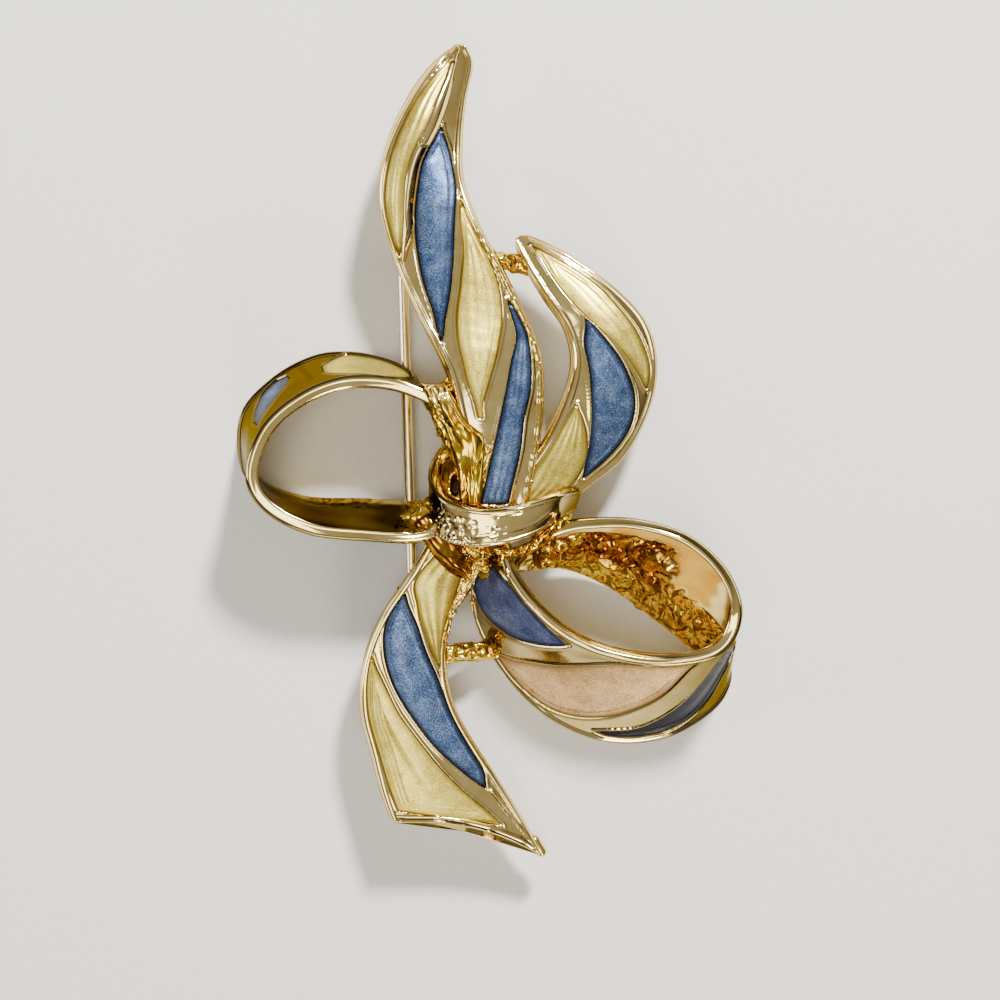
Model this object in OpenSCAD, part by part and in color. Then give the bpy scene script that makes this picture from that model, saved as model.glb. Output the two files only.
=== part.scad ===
// Enamelled bow brooch: a tied ribbon cast in gilt metal, with enamel cells and a hinged pin.
// It lies on its back. X runs across the bow, Y up its length and Z up to the front.

/* [Bow] */
// Length of the bow, over which the ribbons' rows are shared out
bow_l = 73; // [66:1:80]
// Width of the bow, over which the ribbons' rows are shared out
bow_w = 45.6; // [41:0.1:50]
// Height of the bow from the floor to the top of the knot
bow_h = 11.2; // [10.4:0.1:12.4]

/* [Ribbons] */
// Widest place of the upper tail
upper_tail_w = 9.3; // [8.4:0.1:10.2]
// Widest place of the upper tail's turned-over edge
fold_w = 3.5; // [3:0.1:4]
// Widest place of the right tail
right_tail_w = 8.1; // [7.3:0.1:9]
// Widest place of the left loop's band
left_loop_w = 9.9; // [9:0.1:10.6]
// Widest place of the right loop's band
right_loop_w = 12.2; // [11:0.1:13]
// Slanting end of the lower tail
lower_tail_w = 14.2; // [13:0.1:15.4]
// Widest place of the knot's band
knot_w = 8.5; // [7.6:0.1:9.4]
// How far the lower tail's end curves inwards, as a share of its length
lower_tail_notch = 0.03; // [0:0.01:0.06]

/* [Metal] */
// Thickness of the flat tails
tail_t = 1.3; // [1.1:0.05:1.6]
// Thickness of the loops' and the knot's bands
loop_t = 1; // [0.9:0.05:1.2]
// Width of the raised rim along each ribbon
rim_w = 0.5; // [0.3:0.05:0.7]
// Height of the raised rim above the ribbon's face
rim_h = 0.22; // [0.1:0.02:0.4]
// Bulge of each ribbon's cut end
end_round = 0.25; // [0.1:0.05:0.4]
// Radius of the cast core that joins the ribbons at the knot
core_r = 1.9; // [1.6:0.1:2.2]
// Height of the cast bridges' ends above the ribbons' faces
bridge_rise = 0.05; // [0:0.05:0.2]

/* [Enamel] */
// Depth of the enamel cells below the ribbon's face
cell_depth = 0.45; // [0.3:0.05:0.6]
// How far the enamel's surface lies below the ribbon's face
enamel_drop = 0.06; // [0.02:0.02:0.14]
// Gap between the enamel and the metal round it
enamel_gap = 0.05; // [0.03:0.01:0.08]

/* [Pin] */
// Diameter of the pin's wire
pin_d = 1.05; // [0.9:0.05:1.2]
// Height of the pin's axis above the floor
pin_z = 1.5; // [1.3:0.05:1.7]
// Length of the pin past the middle of the catch
pin_over = 1.9; // [1.4:0.1:2.4]
// Length of the pin's tapered point
point_l = 3.2; // [2:0.1:5]
// Diameter of the eye on the pin's end
eye_d = 2.1; // [1.9:0.05:2.4]
// Width of the eye along the rivet
eye_w = 1.1; // [0.9:0.05:1.3]
// Diameter of the rivet
rivet_d = 0.8; // [0.7:0.05:0.9]
// Diameter of the rivet's two heads
rivet_head_d = 1.3; // [1.1:0.05:1.5]
// Thickness of the rivet's heads
rivet_head_t = 0.25; // [0.2:0.05:0.4]
// Play between the eye and the rivet, all round
hinge_play = 0.05; // [0.03:0.01:0.08]

/* [Hinge and catch] */
// Thickness of each hinge ear
ear_t = 0.55; // [0.45:0.05:0.7]
// Length of the hinge ears along the pin
ear_l = 2.8; // [2.5:0.1:3.2]
// Gap between an ear and what turns or sits against it
ear_gap = 0.08; // [0.05:0.01:0.12]
// Gap between the rivet and the ears' holes, all round
rivet_gap = 0.03; // [0.02:0.01:0.05]
// Thickness of the catch's cheeks
cheek_t = 0.6; // [0.5:0.05:0.8]
// Length of the catch along the pin
catch_l = 2; // [1.6:0.1:2.6]
// Gap between the pin and the catch's mouth
catch_gap = 0.12; // [0.08:0.01:0.2]
// Height of the catch's lower edge above the floor
catch_z = 0.4; // [0.3:0.05:0.5]
// Room left round the pin where it passes under the left loop
passage_gap = 0.25; // [0.2:0.05:0.4]

/* [Hidden] */
$fn = 48;

// Steps along a ribbon and along and across an enamel cell
ribbon_steps = 20;
cell_steps = 10;
cell_lanes = 3;
// Facets round the cast core and bridges
core_fn = 12;
// Share of a ribbon over which its run is measured
nudge = 0.001;
// Height above a ribbon's face to which a cell is cut clear
cell_clear = 1.2;
// Widest share of half a ribbon that a rim takes
rim_most = 0.5;
// Largest share of a cell that the enamel's gap takes at a pointed end
gap_most = 0.3;

// Columns: middle across bow_w, along bow_l and up bow_h, share of the ribbon's width,
// turn and lean of the line across it in degrees, and crown as a share of its width
upper_tail_rows = [
    [0.029, -0.091, 0.75, 0.45, 0, -6, 0.03],
    [0.039, -0.024, 0.754, 0.59, 0, -9, 0.05],
    [0.034, 0.039, 0.746, 0.8, 2, -10, 0.07],
    [0.019, 0.107, 0.719, 0.93, 5, -9, 0.08],
    [-0.024, 0.167, 0.683, 0.99, 4, -2, 0.06],
    [-0.07, 0.227, 0.647, 1, 1, 4, 0.05],
    [-0.108, 0.284, 0.598, 0.91, -1, 7, 0.05],
    [-0.126, 0.338, 0.554, 0.8, 1, 0, 0.06],
    [-0.118, 0.39, 0.509, 0.72, 4, -9, 0.07],
    [-0.095, 0.439, 0.46, 0.59, 5, -16, 0.08],
    [-0.064, 0.482, 0.424, 0.41, 4, -20, 0.07],
    [-0.049, 0.507, 0.397, 0.13, 5, -25, 0.04],
];
upper_fold_rows = [
    [-0.167, 0.234, 0.634, 0.21, -1, 15, 0.02],
    [-0.174, 0.276, 0.674, 0.7, 2, 21, 0.05],
    [-0.176, 0.319, 0.701, 0.91, -2, 20, 0.08],
    [-0.163, 0.361, 0.71, 0.92, -9, 16, 0.1],
    [-0.133, 0.403, 0.688, 1, -7, 10, 0.11],
    [-0.105, 0.443, 0.625, 0.85, -4, 4, 0.1],
    [-0.078, 0.48, 0.545, 0.5, -8, -7, 0.07],
    [-0.055, 0.504, 0.464, 0.17, -15, -20, 0.03],
];
right_tail_rows = [
    [0.093, -0.078, 0.616, 0.66, 4, -15, 0.02],
    [0.144, -0.038, 0.607, 0.79, -8, -18, 0.03],
    [0.203, 0.003, 0.585, 0.95, -11, -21, 0.05],
    [0.245, 0.056, 0.562, 1, -7, -19, 0.09],
    [0.261, 0.108, 0.549, 0.97, -2, -15, 0.11],
    [0.244, 0.154, 0.554, 0.94, 2, -12, 0.11],
    [0.198, 0.192, 0.554, 0.86, 4, -7, 0.09],
    [0.138, 0.23, 0.527, 0.59, 9, -2, 0.06],
    [0.07, 0.266, 0.464, 0.17, 32, 0, 0.03],
];
left_loop_rows = [
    [-0.023, -0.018, 0.536, 0.54, -124, -64, 0],
    [-0.07, 0.045, 0.527, 0.56, -180, -75, 0],
    [-0.128, 0.084, 0.504, 0.67, -232, -71, 0],
    [-0.211, 0.104, 0.473, 0.78, -237, -68, 0],
    [-0.308, 0.105, 0.438, 0.9, -231, -67, 0],
    [-0.398, 0.08, 0.411, 0.98, -216, -68, 0],
    [-0.466, 0.037, 0.402, 1, -213, -71, 0],
    [-0.482, -0.023, 0.402, 0.97, -227, -77, 0],
    [-0.442, -0.063, 0.402, 0.95, -236, -77, 0],
    [-0.352, -0.086, 0.424, 0.89, -252, -73, 0],
    [-0.241, -0.091, 0.464, 0.78, -263, -68, 0],
    [-0.145, -0.094, 0.491, 0.65, -266, -64, 0],
    [-0.065, -0.087, 0.491, 0.52, -268, -63, 0],
];
right_loop_rows = [
    [0.001, -0.138, 0.5, 0.5, -136, -51, 0],
    [0.019, -0.189, 0.478, 0.7, -122, -48, 0],
    [0.078, -0.245, 0.455, 0.85, -110, -46, 0],
    [0.162, -0.289, 0.438, 0.95, -101, -45, 0],
    [0.265, -0.312, 0.411, 1, -93, -46, 0],
    [0.377, -0.311, 0.393, 0.97, -89, -51, 0],
    [0.471, -0.284, 0.402, 0.9, -89, -58, 0],
    [0.501, -0.239, 0.42, 0.91, -92, -57, 0],
    [0.46, -0.199, 0.433, 0.98, -102, -51, 0],
    [0.38, -0.156, 0.442, 0.98, -106, -50, 0],
    [0.278, -0.124, 0.451, 0.85, -108, -55, 0],
    [0.174, -0.111, 0.464, 0.68, -113, -60, 0],
    [0.084, -0.119, 0.5, 0.52, -123, -55, 0],
];
lower_tail_rows = [
    [-0.053, -0.103, 0.607, 0.27, 163, 6, 0.02],
    [-0.088, -0.153, 0.562, 0.34, 171, 7, 0.04],
    [-0.137, -0.212, 0.527, 0.44, 175, 5, 0.06],
    [-0.159, -0.265, 0.509, 0.52, 180, 5, 0.08],
    [-0.153, -0.321, 0.5, 0.59, 183, 5, 0.08],
    [-0.113, -0.384, 0.491, 0.69, 183, 6, 0.07],
    [-0.033, -0.484, 0.446, 1, 166, 8, 0.04],
];
knot_rows = [
    [-0.072, -0.051, 0.29, 1, -94, -3, 0],
    [-0.105, -0.056, 0.518, 0.82, -93, -3, 0],
    [-0.101, -0.073, 0.75, 0.56, -84, -5, 0],
    [-0.063, -0.09, 0.911, 0.45, -79, -6, 0],
    [0.004, -0.096, 0.982, 0.37, -84, -7, 0],
    [0.08, -0.088, 0.938, 0.34, -86, -12, 0],
    [0.145, -0.072, 0.795, 0.29, -98, -14, 0],
    [0.184, -0.061, 0.545, 0.23, -106, -18, 0],
    [0.172, -0.06, 0.286, 0.22, -114, -12, 0],
];

// Columns: rows, width, thickness, and inward curve of the far end
upper_tail = [upper_tail_rows, upper_tail_w, tail_t, 0];
upper_fold = [upper_fold_rows, fold_w, loop_t, 0];
right_tail = [right_tail_rows, right_tail_w, tail_t, 0];
left_loop = [left_loop_rows, left_loop_w, loop_t, 0];
right_loop = [right_loop_rows, right_loop_w, loop_t, 0];
lower_tail = [lower_tail_rows, lower_tail_w, tail_t, lower_tail_notch];
knot_band = [knot_rows, knot_w, loop_t, 0];

// Ribbon's section. Columns: side, inset in rim widths, rise in rim heights, depth in thicknesses
section = [
    [-1, 0, 0, 0.2],
    [-1, 0.4, 1, 0],
    [-1, 1, 0, 0],
    [-0.4, 0, 0, 0],
    [0, 0, 0, 0],
    [0.4, 0, 0, 0],
    [1, 1, 0, 0],
    [1, 0.4, 1, 0],
    [1, 0, 0, 0.2],
    [1, 0, 0, 0.8],
    [1, 0.5, 0, 1],
    [0.4, 0, 0, 1],
    [-0.4, 0, 0, 1],
    [-1, 0.5, 0, 1],
    [-1, 0, 0, 0.8],
];

// Enamel cells. Columns: along and across the ribbon of one side, then of the other side
fold_cream_cell = [
    [0.074, -0.44, 0.056, 0.46],
    [0.207, -0.6, 0.194, 0.62],
    [0.325, -0.57, 0.327, 0.56],
    [0.445, -0.62, 0.447, 0.55],
    [0.571, -0.67, 0.563, 0.54],
    [0.711, -0.54, 0.707, 0.56],
    [0.873, 0.13, 0.853, 0.61],
];
upper_blue_cell = [
    [0.337, -0.83, 0.333, -0.73],
    [0.368, -0.73, 0.361, -0.54],
    [0.424, -0.63, 0.421, -0.12],
    [0.491, -0.47, 0.49, 0.26],
    [0.557, -0.28, 0.556, 0.57],
    [0.618, -0.09, 0.623, 0.8],
    [0.679, 0.05, 0.683, 0.72],
    [0.737, 0.31, 0.732, 0.46],
];
upper_cream_cell = [
    [0.184, -0.58, 0.184, -0.48],
    [0.211, -0.6, 0.207, -0.43],
    [0.251, -0.67, 0.251, -0.16],
    [0.307, -0.58, 0.301, 0.18],
    [0.366, -0.29, 0.353, 0.53],
    [0.424, 0.09, 0.423, 0.78],
    [0.494, 0.48, 0.508, 0.86],
    [0.569, 0.76, 0.57, 0.86],
];
upper_blue_low_cell = [
    [0.034, -0.8, 0.034, 0.25],
    [0.07, -0.63, 0.07, 0.32],
    [0.122, -0.35, 0.122, 0.46],
    [0.179, -0.07, 0.178, 0.53],
    [0.227, 0.13, 0.226, 0.69],
    [0.272, 0.34, 0.27, 0.77],
    [0.32, 0.65, 0.319, 0.86],
    [0.373, 0.76, 0.369, 0.86],
];
right_cream_cell = [
    [0.446, 0.65, 0.447, 0.79],
    [0.506, 0.28, 0.492, 0.8],
    [0.575, -0.07, 0.577, 0.66],
    [0.648, -0.38, 0.676, 0.54],
    [0.734, -0.47, 0.774, 0.57],
    [0.835, -0.4, 0.857, 0.47],
    [0.936, -0.07, 0.938, 0.21],
];
right_blue_cell = [
    [0.16, 0.5, 0.162, 0.6],
    [0.209, 0.2, 0.228, 0.62],
    [0.276, -0.09, 0.326, 0.69],
    [0.362, -0.4, 0.405, 0.52],
    [0.456, -0.63, 0.493, 0.13],
    [0.556, -0.73, 0.575, -0.22],
    [0.634, -0.53, 0.641, -0.41],
];
right_cream_foot_cell = [
    [0.045, -0.86, 0.047, 0.12],
    [0.122, -0.86, 0.124, 0.44],
    [0.206, -0.86, 0.216, 0.15],
    [0.287, -0.86, 0.29, -0.26],
    [0.355, -0.78, 0.351, -0.68],
];
left_cream_cell = [
    [0.188, 0.1, 0.184, 0.86],
    [0.214, -0.52, 0.2, 0.86],
    [0.249, -0.8, 0.231, 0.86],
    [0.281, -0.77, 0.265, 0.86],
    [0.311, -0.68, 0.296, 0.82],
    [0.334, -0.53, 0.323, 0.49],
    [0.349, -0.3, 0.345, 0.22],
];
left_blue_cell = [
    [0.403, 0.29, 0.401, 0.63],
    [0.42, 0.03, 0.419, 0.74],
    [0.442, -0.18, 0.442, 0.69],
    [0.466, -0.38, 0.462, 0.53],
    [0.484, -0.48, 0.482, 0.24],
    [0.499, -0.57, 0.498, -0.15],
];
loop_blue_cell = [
    [0.024, -0.43, 0.005, 0.11],
    [0.087, -0.78, 0.019, 0.81],
    [0.139, -0.86, 0.065, 0.65],
    [0.186, -0.86, 0.118, 0.28],
    [0.214, -0.84, 0.171, -0.18],
    [0.235, -0.8, 0.229, -0.7],
];
loop_blush_cell = [
    [0.138, 0.76, 0.138, 0.86],
    [0.193, 0.12, 0.184, 0.86],
    [0.251, -0.38, 0.24, 0.78],
    [0.316, -0.75, 0.297, 0.55],
    [0.378, -0.86, 0.351, 0.24],
    [0.424, -0.86, 0.402, -0.19],
    [0.449, -0.86, 0.44, -0.76],
];
loop_blue_end_cell = [
    [0.323, 0.76, 0.321, 0.86],
    [0.376, 0.61, 0.375, 0.86],
    [0.432, 0.2, 0.432, 0.8],
    [0.466, -0.29, 0.474, 0.51],
    [0.488, -0.69, 0.511, -0.07],
    [0.509, -0.86, 0.551, -0.4],
];
lower_cream_cell = [
    [0.08, -0.7, 0.09, 0.5],
    [0.177, -0.79, 0.198, 0.72],
    [0.268, -0.86, 0.279, 0.16],
    [0.373, -0.86, 0.376, -0.37],
    [0.485, -0.86, 0.484, -0.76],
];
lower_blue_cell = [
    [0.264, 0.63, 0.267, 0.8],
    [0.341, -0.02, 0.35, 0.8],
    [0.434, -0.43, 0.446, 0.59],
    [0.565, -0.79, 0.565, 0.29],
    [0.69, -0.86, 0.684, -0.01],
    [0.809, -0.86, 0.804, -0.24],
    [0.862, -0.86, 0.864, -0.48],
    [0.888, -0.75, 0.89, -0.65],
];
lower_cream_end_cell = [
    [0.499, 0.76, 0.499, 0.86],
    [0.594, 0.43, 0.628, 0.86],
    [0.733, 0.13, 0.759, 0.86],
    [0.871, -0.18, 0.87, 0.86],
    [0.958, -0.64, 0.963, 0.86],
];

// Columns: ribbon and the cell cut into it
cells = [
    [upper_fold, fold_cream_cell],
    [upper_tail, upper_blue_cell],
    [upper_tail, upper_cream_cell],
    [upper_tail, upper_blue_low_cell],
    [right_tail, right_cream_cell],
    [right_tail, right_blue_cell],
    [right_tail, right_cream_foot_cell],
    [left_loop, left_cream_cell],
    [left_loop, left_blue_cell],
    [right_loop, loop_blue_cell],
    [right_loop, loop_blush_cell],
    [right_loop, loop_blue_end_cell],
    [lower_tail, lower_cream_cell],
    [lower_tail, lower_blue_cell],
    [lower_tail, lower_cream_end_cell],
];

// Cast core and bridges. Columns: ribbon, along and across, the same of the other end, share of core_r
bridges = [
    [upper_tail, 0.47, 0.9, right_tail, 0.9, -0.7, 0.42],
    [lower_tail, 0.47, -0.9, right_loop, 0.13, 0.85, 0.42],
    [left_loop, 0.13, -0.8, upper_tail, 0.25, -0.9, 0.38],
    [upper_tail, 0.01, 0.05, lower_tail, 0.07, 0.1, 1],
    [right_tail, 0.06, 0.1, lower_tail, 0.01, -0.7, 0.8],
    [left_loop, 0.02, 0.3, upper_tail, 0.05, -0.6, 0.7],
    [left_loop, 0.11, -0.85, upper_tail, 0.03, -0.85, 0.4],
    [left_loop, 0.97, 0.15, lower_tail, 0.02, 0.6, 0.62],
    [right_loop, 0.03, 0.05, lower_tail, 0.03, -0.3, 0.68],
    [right_loop, 0.97, 0.1, right_tail, 0.01, 0.4, 0.56],
    [knot_band, 0.5, 0.2, upper_tail, 0.03, 0.35, 0.58],
    [knot_band, 0.05, 0.35, left_loop, 0.95, -0.1, 0.5],
    [knot_band, 0.96, -0.1, right_loop, 0.95, -0.4, 0.4],
    [upper_fold, 0.04, 0, upper_tail, 0.47, -0.8, 0.32],
    [upper_fold, 0.95, 0.1, upper_tail, 0.96, -0.3, 0.3],
];

// Where the hinge and the catch are soldered. Columns: along and across the ribbon
hinge_at = [0.533, -0.7];
catch_at = [0.26, 0.48];
hinge_spot = point_at(upper_tail, hinge_at[0], hinge_at[1], -tail_t / 2);
catch_spot = point_at(lower_tail, catch_at[0], catch_at[1], -tail_t / 2);
pin_reach = norm([catch_spot[0] - hinge_spot[0], catch_spot[1] - hinge_spot[1]]);
pin_skew = atan2(catch_spot[0] - hinge_spot[0], hinge_spot[1] - catch_spot[1]);
pin_l = pin_reach + pin_over;
point_tip_d = pin_d / 5;
eye_bore_d = rivet_d + 2 * hinge_play;
ear_inner = eye_w / 2 + ear_gap;
ear_outer = ear_inner + ear_t;
catch_w = pin_d + 2 * (catch_gap + cheek_t);
mouth_w = pin_d + 2 * catch_gap;

gold = [0.85, 0.70, 0.36];
blue = [0.29, 0.40, 0.57];
cream = [0.86, 0.82, 0.55];
blush = [0.84, 0.69, 0.50];
steel = [0.80, 0.77, 0.66];

// Smooth curve through a table's rows at share t of their run
function spline(rows, t) =
    let (n = len(rows) - 1,
         x = min(max(t, 0), 1) * n,
         i = min(floor(x), n - 1),
         f = x - i,
         b = rows[i],
         c = rows[i + 1],
         a = i > 0 ? rows[i - 1] : 2 * b - c,
         d = i + 2 <= n ? rows[i + 2] : 2 * c - b)
    (2 * b + (c - a) * f + (2 * a - 5 * b + 4 * c - d) * f * f + (3 * b - 3 * c + d - a) * f * f * f) / 2;

// Middle of a ribbon at share u of its run
function middle_at(ribbon, u) =
    let (row = spline(ribbon[0], u))
    [row[0] * bow_w, row[1] * bow_l, row[2] * bow_h];

// Unit vector
function unit(v) = v / norm(v);

// Point of a ribbon: u along it, v across it from -1 to 1, h above its face
function point_at(ribbon, u, v, h = 0) =
    let (row = spline(ribbon[0], u),
         run = middle_at(ribbon, min(u + nudge, 1)) - middle_at(ribbon, max(u - nudge, 0)),
         across = [cos(row[5]) * cos(row[4]), cos(row[5]) * sin(row[4]), sin(row[5])],
         face = unit(cross(across, run)),
         width = row[3] * ribbon[1])
    middle_at(ribbon, u) + across * v * width / 2 + face * (h + row[6] * width * (1 - v * v));

// Share along the run where the curved far end puts a point
function along_at(ribbon, u, v) = u * (1 - ribbon[3] * (1 - v * v) * pow(u, 6));

// Point of a ribbon's section: row of the section table, at share u of the run
function section_point(ribbon, u, row) =
    let (half = spline(ribbon[0], u)[3] * ribbon[1] / 2,
         rim = min(rim_w / half, rim_most),
         v = row[0] - sign(row[0]) * row[1] * rim,
         h = row[2] * rim_h - row[3] * ribbon[2])
    point_at(ribbon, along_at(ribbon, u, v), v, h);

// Triangles of a tube of rings, closed at both ends round a middle point
function tube_faces(rings, n) = concat(
    [for (i = [0 : rings - 2]) for (j = [0 : n - 1]) [i * n + j, (i + 1) * n + j, i * n + (j + 1) % n]],
    [for (i = [0 : rings - 2]) for (j = [0 : n - 1])
        [i * n + (j + 1) % n, (i + 1) * n + j, (i + 1) * n + (j + 1) % n]],
    [for (j = [0 : n - 1]) [rings * n, j, (j + 1) % n]],
    [for (j = [0 : n - 1]) [rings * n + 1, (rings - 1) * n + (j + 1) % n, (rings - 1) * n + j]]);

// How far a ribbon's end bulges outwards at its middle
function end_bulge(ribbon, u) =
    let (run = middle_at(ribbon, u) - middle_at(ribbon, abs(u - nudge)))
    unit(run) * end_round;

module ribbon_body(ribbon) {
    points = [for (i = [0 : ribbon_steps]) for (row = section)
        section_point(ribbon, i / ribbon_steps, row)];
    ends = [for (u = [0, 1]) point_at(ribbon, along_at(ribbon, u, 0), 0, -ribbon[2] / 2) + end_bulge(ribbon, u)];
    polyhedron(concat(points, ends), tube_faces(ribbon_steps + 1, len(section)));
}

// Two sides of a cell at share s of its length, drawn in by a gap in millimetres
function cell_sides(ribbon, cell, s, gap) =
    let (first = spline(cell, 0),
         last = spline(cell, 1),
         cell_l = norm(point_at(ribbon, last[0], last[1]) - point_at(ribbon, first[0], first[1])),
         row = spline(cell, s + (1 - 2 * s) * gap / cell_l),
         a = [row[0], row[1]],
         b = [row[2], row[3]],
         wide = norm(point_at(ribbon, b[0], b[1]) - point_at(ribbon, a[0], a[1])),
         draw = min(gap / wide, gap_most))
    [a + (b - a) * draw, b + (a - b) * draw];

// Ring of a cell's block at share s: along its upper face, then back along its floor
function cell_ring(ribbon, cell, s, gap, top, floor) =
    let (sides = cell_sides(ribbon, cell, s, gap),
         steps = [for (j = [0 : cell_lanes]) sides[0] + (sides[1] - sides[0]) * j / cell_lanes])
    concat([for (p = steps) point_at(ribbon, p[0], p[1], top)],
           [for (j = [cell_lanes : -1 : 0]) point_at(ribbon, steps[j][0], steps[j][1], floor)]);

module cell_block(ribbon, cell, gap, top, floor) {
    points = [for (i = [0 : cell_steps]) each cell_ring(ribbon, cell, i / cell_steps, gap, top, floor)];
    ends = [for (s = [0, 1])
        let (sides = cell_sides(ribbon, cell, s, gap), p = (sides[0] + sides[1]) / 2)
        point_at(ribbon, p[0], p[1], (top + floor) / 2)];
    polyhedron(concat(points, ends), tube_faces(cell_steps + 1, 2 * (cell_lanes + 1)));
}

// Enamel that fills a cell
module enamel(ribbon, cell) {
    cell_block(ribbon, cell, enamel_gap, -enamel_drop, enamel_gap - cell_depth);
}

// Middle of a bridge's rounded end of radius r, behind a ribbon's face
function bridge_end(ribbon, u, v, r) = point_at(ribbon, u, v, min(bridge_rise - r, -ribbon[2] / 2));

// Rounded bar of cast metal between two ribbons
module bridge(row) {
    r = row[6] * core_r;
    hull() {
        translate(bridge_end(row[0], row[1], row[2], r))
            sphere(r, $fn = core_fn);
        translate(bridge_end(row[3], row[4], row[5], r))
            sphere(r, $fn = core_fn);
    }
}

// Places its children on the pin's hinge, with the pin along -Y and the rivet along X
module at_hinge() {
    translate([hinge_spot[0], hinge_spot[1], pin_z])
        rotate([0, 0, pin_skew])
            children();
}

// Bar along X of a given diameter and length, centred
module cross_bar(d, l) {
    rotate([0, 90, 0])
        cylinder(d = d, h = l, center = true);
}

module hinge_ears() {
    ear_h = hinge_spot[2];
    at_hinge()
        difference() {
            for (side = [-1, 1])
                translate([side * (ear_inner + ear_t / 2), 0, ear_h / 2 - pin_z])
                    cube([ear_t, ear_l, ear_h], center = true);
            cross_bar(rivet_d + 2 * rivet_gap, 2 * ear_outer + ear_t);
        }
}

module catch_hook() {
    hook_h = catch_spot[2] - catch_z;
    at_hinge()
        translate([0, -pin_reach, 0])
            difference() {
                translate([0, 0, catch_z + hook_h / 2 - pin_z])
                    cube([catch_w, catch_l, hook_h], center = true);
                rotate([90, 0, 0])
                    cylinder(d = mouth_w, h = 2 * catch_l, center = true);
                translate([0, 0, -pin_z])
                    cube([mouth_w, 2 * catch_l, 2 * pin_z], center = true);
            }
}

// Room for the pin under the left loop's walls
module pin_passage() {
    room_w = pin_d + 2 * passage_gap;
    at_hinge()
        translate([0, -pin_reach / 2, passage_gap + (pin_d - room_w) / 2])
            rotate([90, 0, 0]) {
                cylinder(d = room_w, h = pin_reach + 2 * catch_l, center = true);
                translate([0, -pin_z, 0])
                    cube([room_w, 2 * pin_z, pin_reach + 2 * catch_l], center = true);
            }
}

// Everything below the floor
module below_floor() {
    translate([0, 0, -bow_h / 2])
        cube([2 * bow_w, 2 * bow_l, bow_h], center = true);
}

module bow_casting() {
    color(gold) {
        difference() {
            union() {
                ribbon_body(upper_tail);
                ribbon_body(upper_fold);
                ribbon_body(right_tail);
                ribbon_body(left_loop);
                ribbon_body(right_loop);
                ribbon_body(lower_tail);
                ribbon_body(knot_band);
                for (row = bridges)
                    bridge(row);
            }
            for (row = cells)
                cell_block(row[0], row[1], 0, cell_clear, -cell_depth);
            pin_passage();
            below_floor();
        }
        hinge_ears();
        catch_hook();
    }
}

module pin_stem() {
    color(steel)
        at_hinge()
            difference() {
                union() {
                    cross_bar(eye_d, eye_w);
                    rotate([90, 0, 0])
                        cylinder(d = pin_d, h = pin_l - point_l);
                    translate([0, point_l - pin_l, 0])
                        rotate([90, 0, 0])
                            cylinder(d1 = pin_d, d2 = point_tip_d, h = point_l);
                }
                cross_bar(eye_bore_d, 2 * eye_w);
            }
}

module hinge_rivet() {
    head_at = ear_outer + rivet_gap + rivet_head_t / 2;
    color(steel)
        at_hinge() {
            cross_bar(rivet_d, 2 * head_at);
            for (side = [-1, 1])
                translate([side * head_at, 0, 0])
                    cross_bar(rivet_head_d, rivet_head_t);
        }
}

module enamel_fold_cream() {
    color(cream)
        enamel(upper_fold, fold_cream_cell);
}

module enamel_upper_blue() {
    color(blue)
        enamel(upper_tail, upper_blue_cell);
}

module enamel_upper_cream() {
    color(cream)
        enamel(upper_tail, upper_cream_cell);
}

module enamel_upper_blue_low() {
    color(blue)
        enamel(upper_tail, upper_blue_low_cell);
}

module enamel_right_cream() {
    color(cream)
        enamel(right_tail, right_cream_cell);
}

module enamel_right_blue() {
    color(blue)
        enamel(right_tail, right_blue_cell);
}

module enamel_right_cream_foot() {
    color(cream)
        enamel(right_tail, right_cream_foot_cell);
}

module enamel_left_cream() {
    color(cream)
        enamel(left_loop, left_cream_cell);
}

module enamel_left_blue() {
    color(blue)
        enamel(left_loop, left_blue_cell);
}

module enamel_loop_blue() {
    color(blue)
        enamel(right_loop, loop_blue_cell);
}

module enamel_loop_blush() {
    color(blush)
        enamel(right_loop, loop_blush_cell);
}

module enamel_loop_blue_end() {
    color(blue)
        enamel(right_loop, loop_blue_end_cell);
}

module enamel_lower_cream() {
    color(cream)
        enamel(lower_tail, lower_cream_cell);
}

module enamel_lower_blue() {
    color(blue)
        enamel(lower_tail, lower_blue_cell);
}

module enamel_lower_cream_end() {
    color(cream)
        enamel(lower_tail, lower_cream_end_cell);
}

bow_casting();
enamel_fold_cream();
enamel_upper_blue();
enamel_upper_cream();
enamel_upper_blue_low();
enamel_right_cream();
enamel_right_blue();
enamel_right_cream_foot();
enamel_left_cream();
enamel_left_blue();
enamel_loop_blue();
enamel_loop_blush();
enamel_loop_blue_end();
enamel_lower_cream();
enamel_lower_blue();
enamel_lower_cream_end();
pin_stem();
hinge_rivet();
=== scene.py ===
"""Enamelled bow brooch: gilt cast ribbons, pearl enamel and a hinged pin, built round the CAD frame."""

import math

import bmesh
import bpy
import numpy as np
from mathutils import Matrix, Vector


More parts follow.
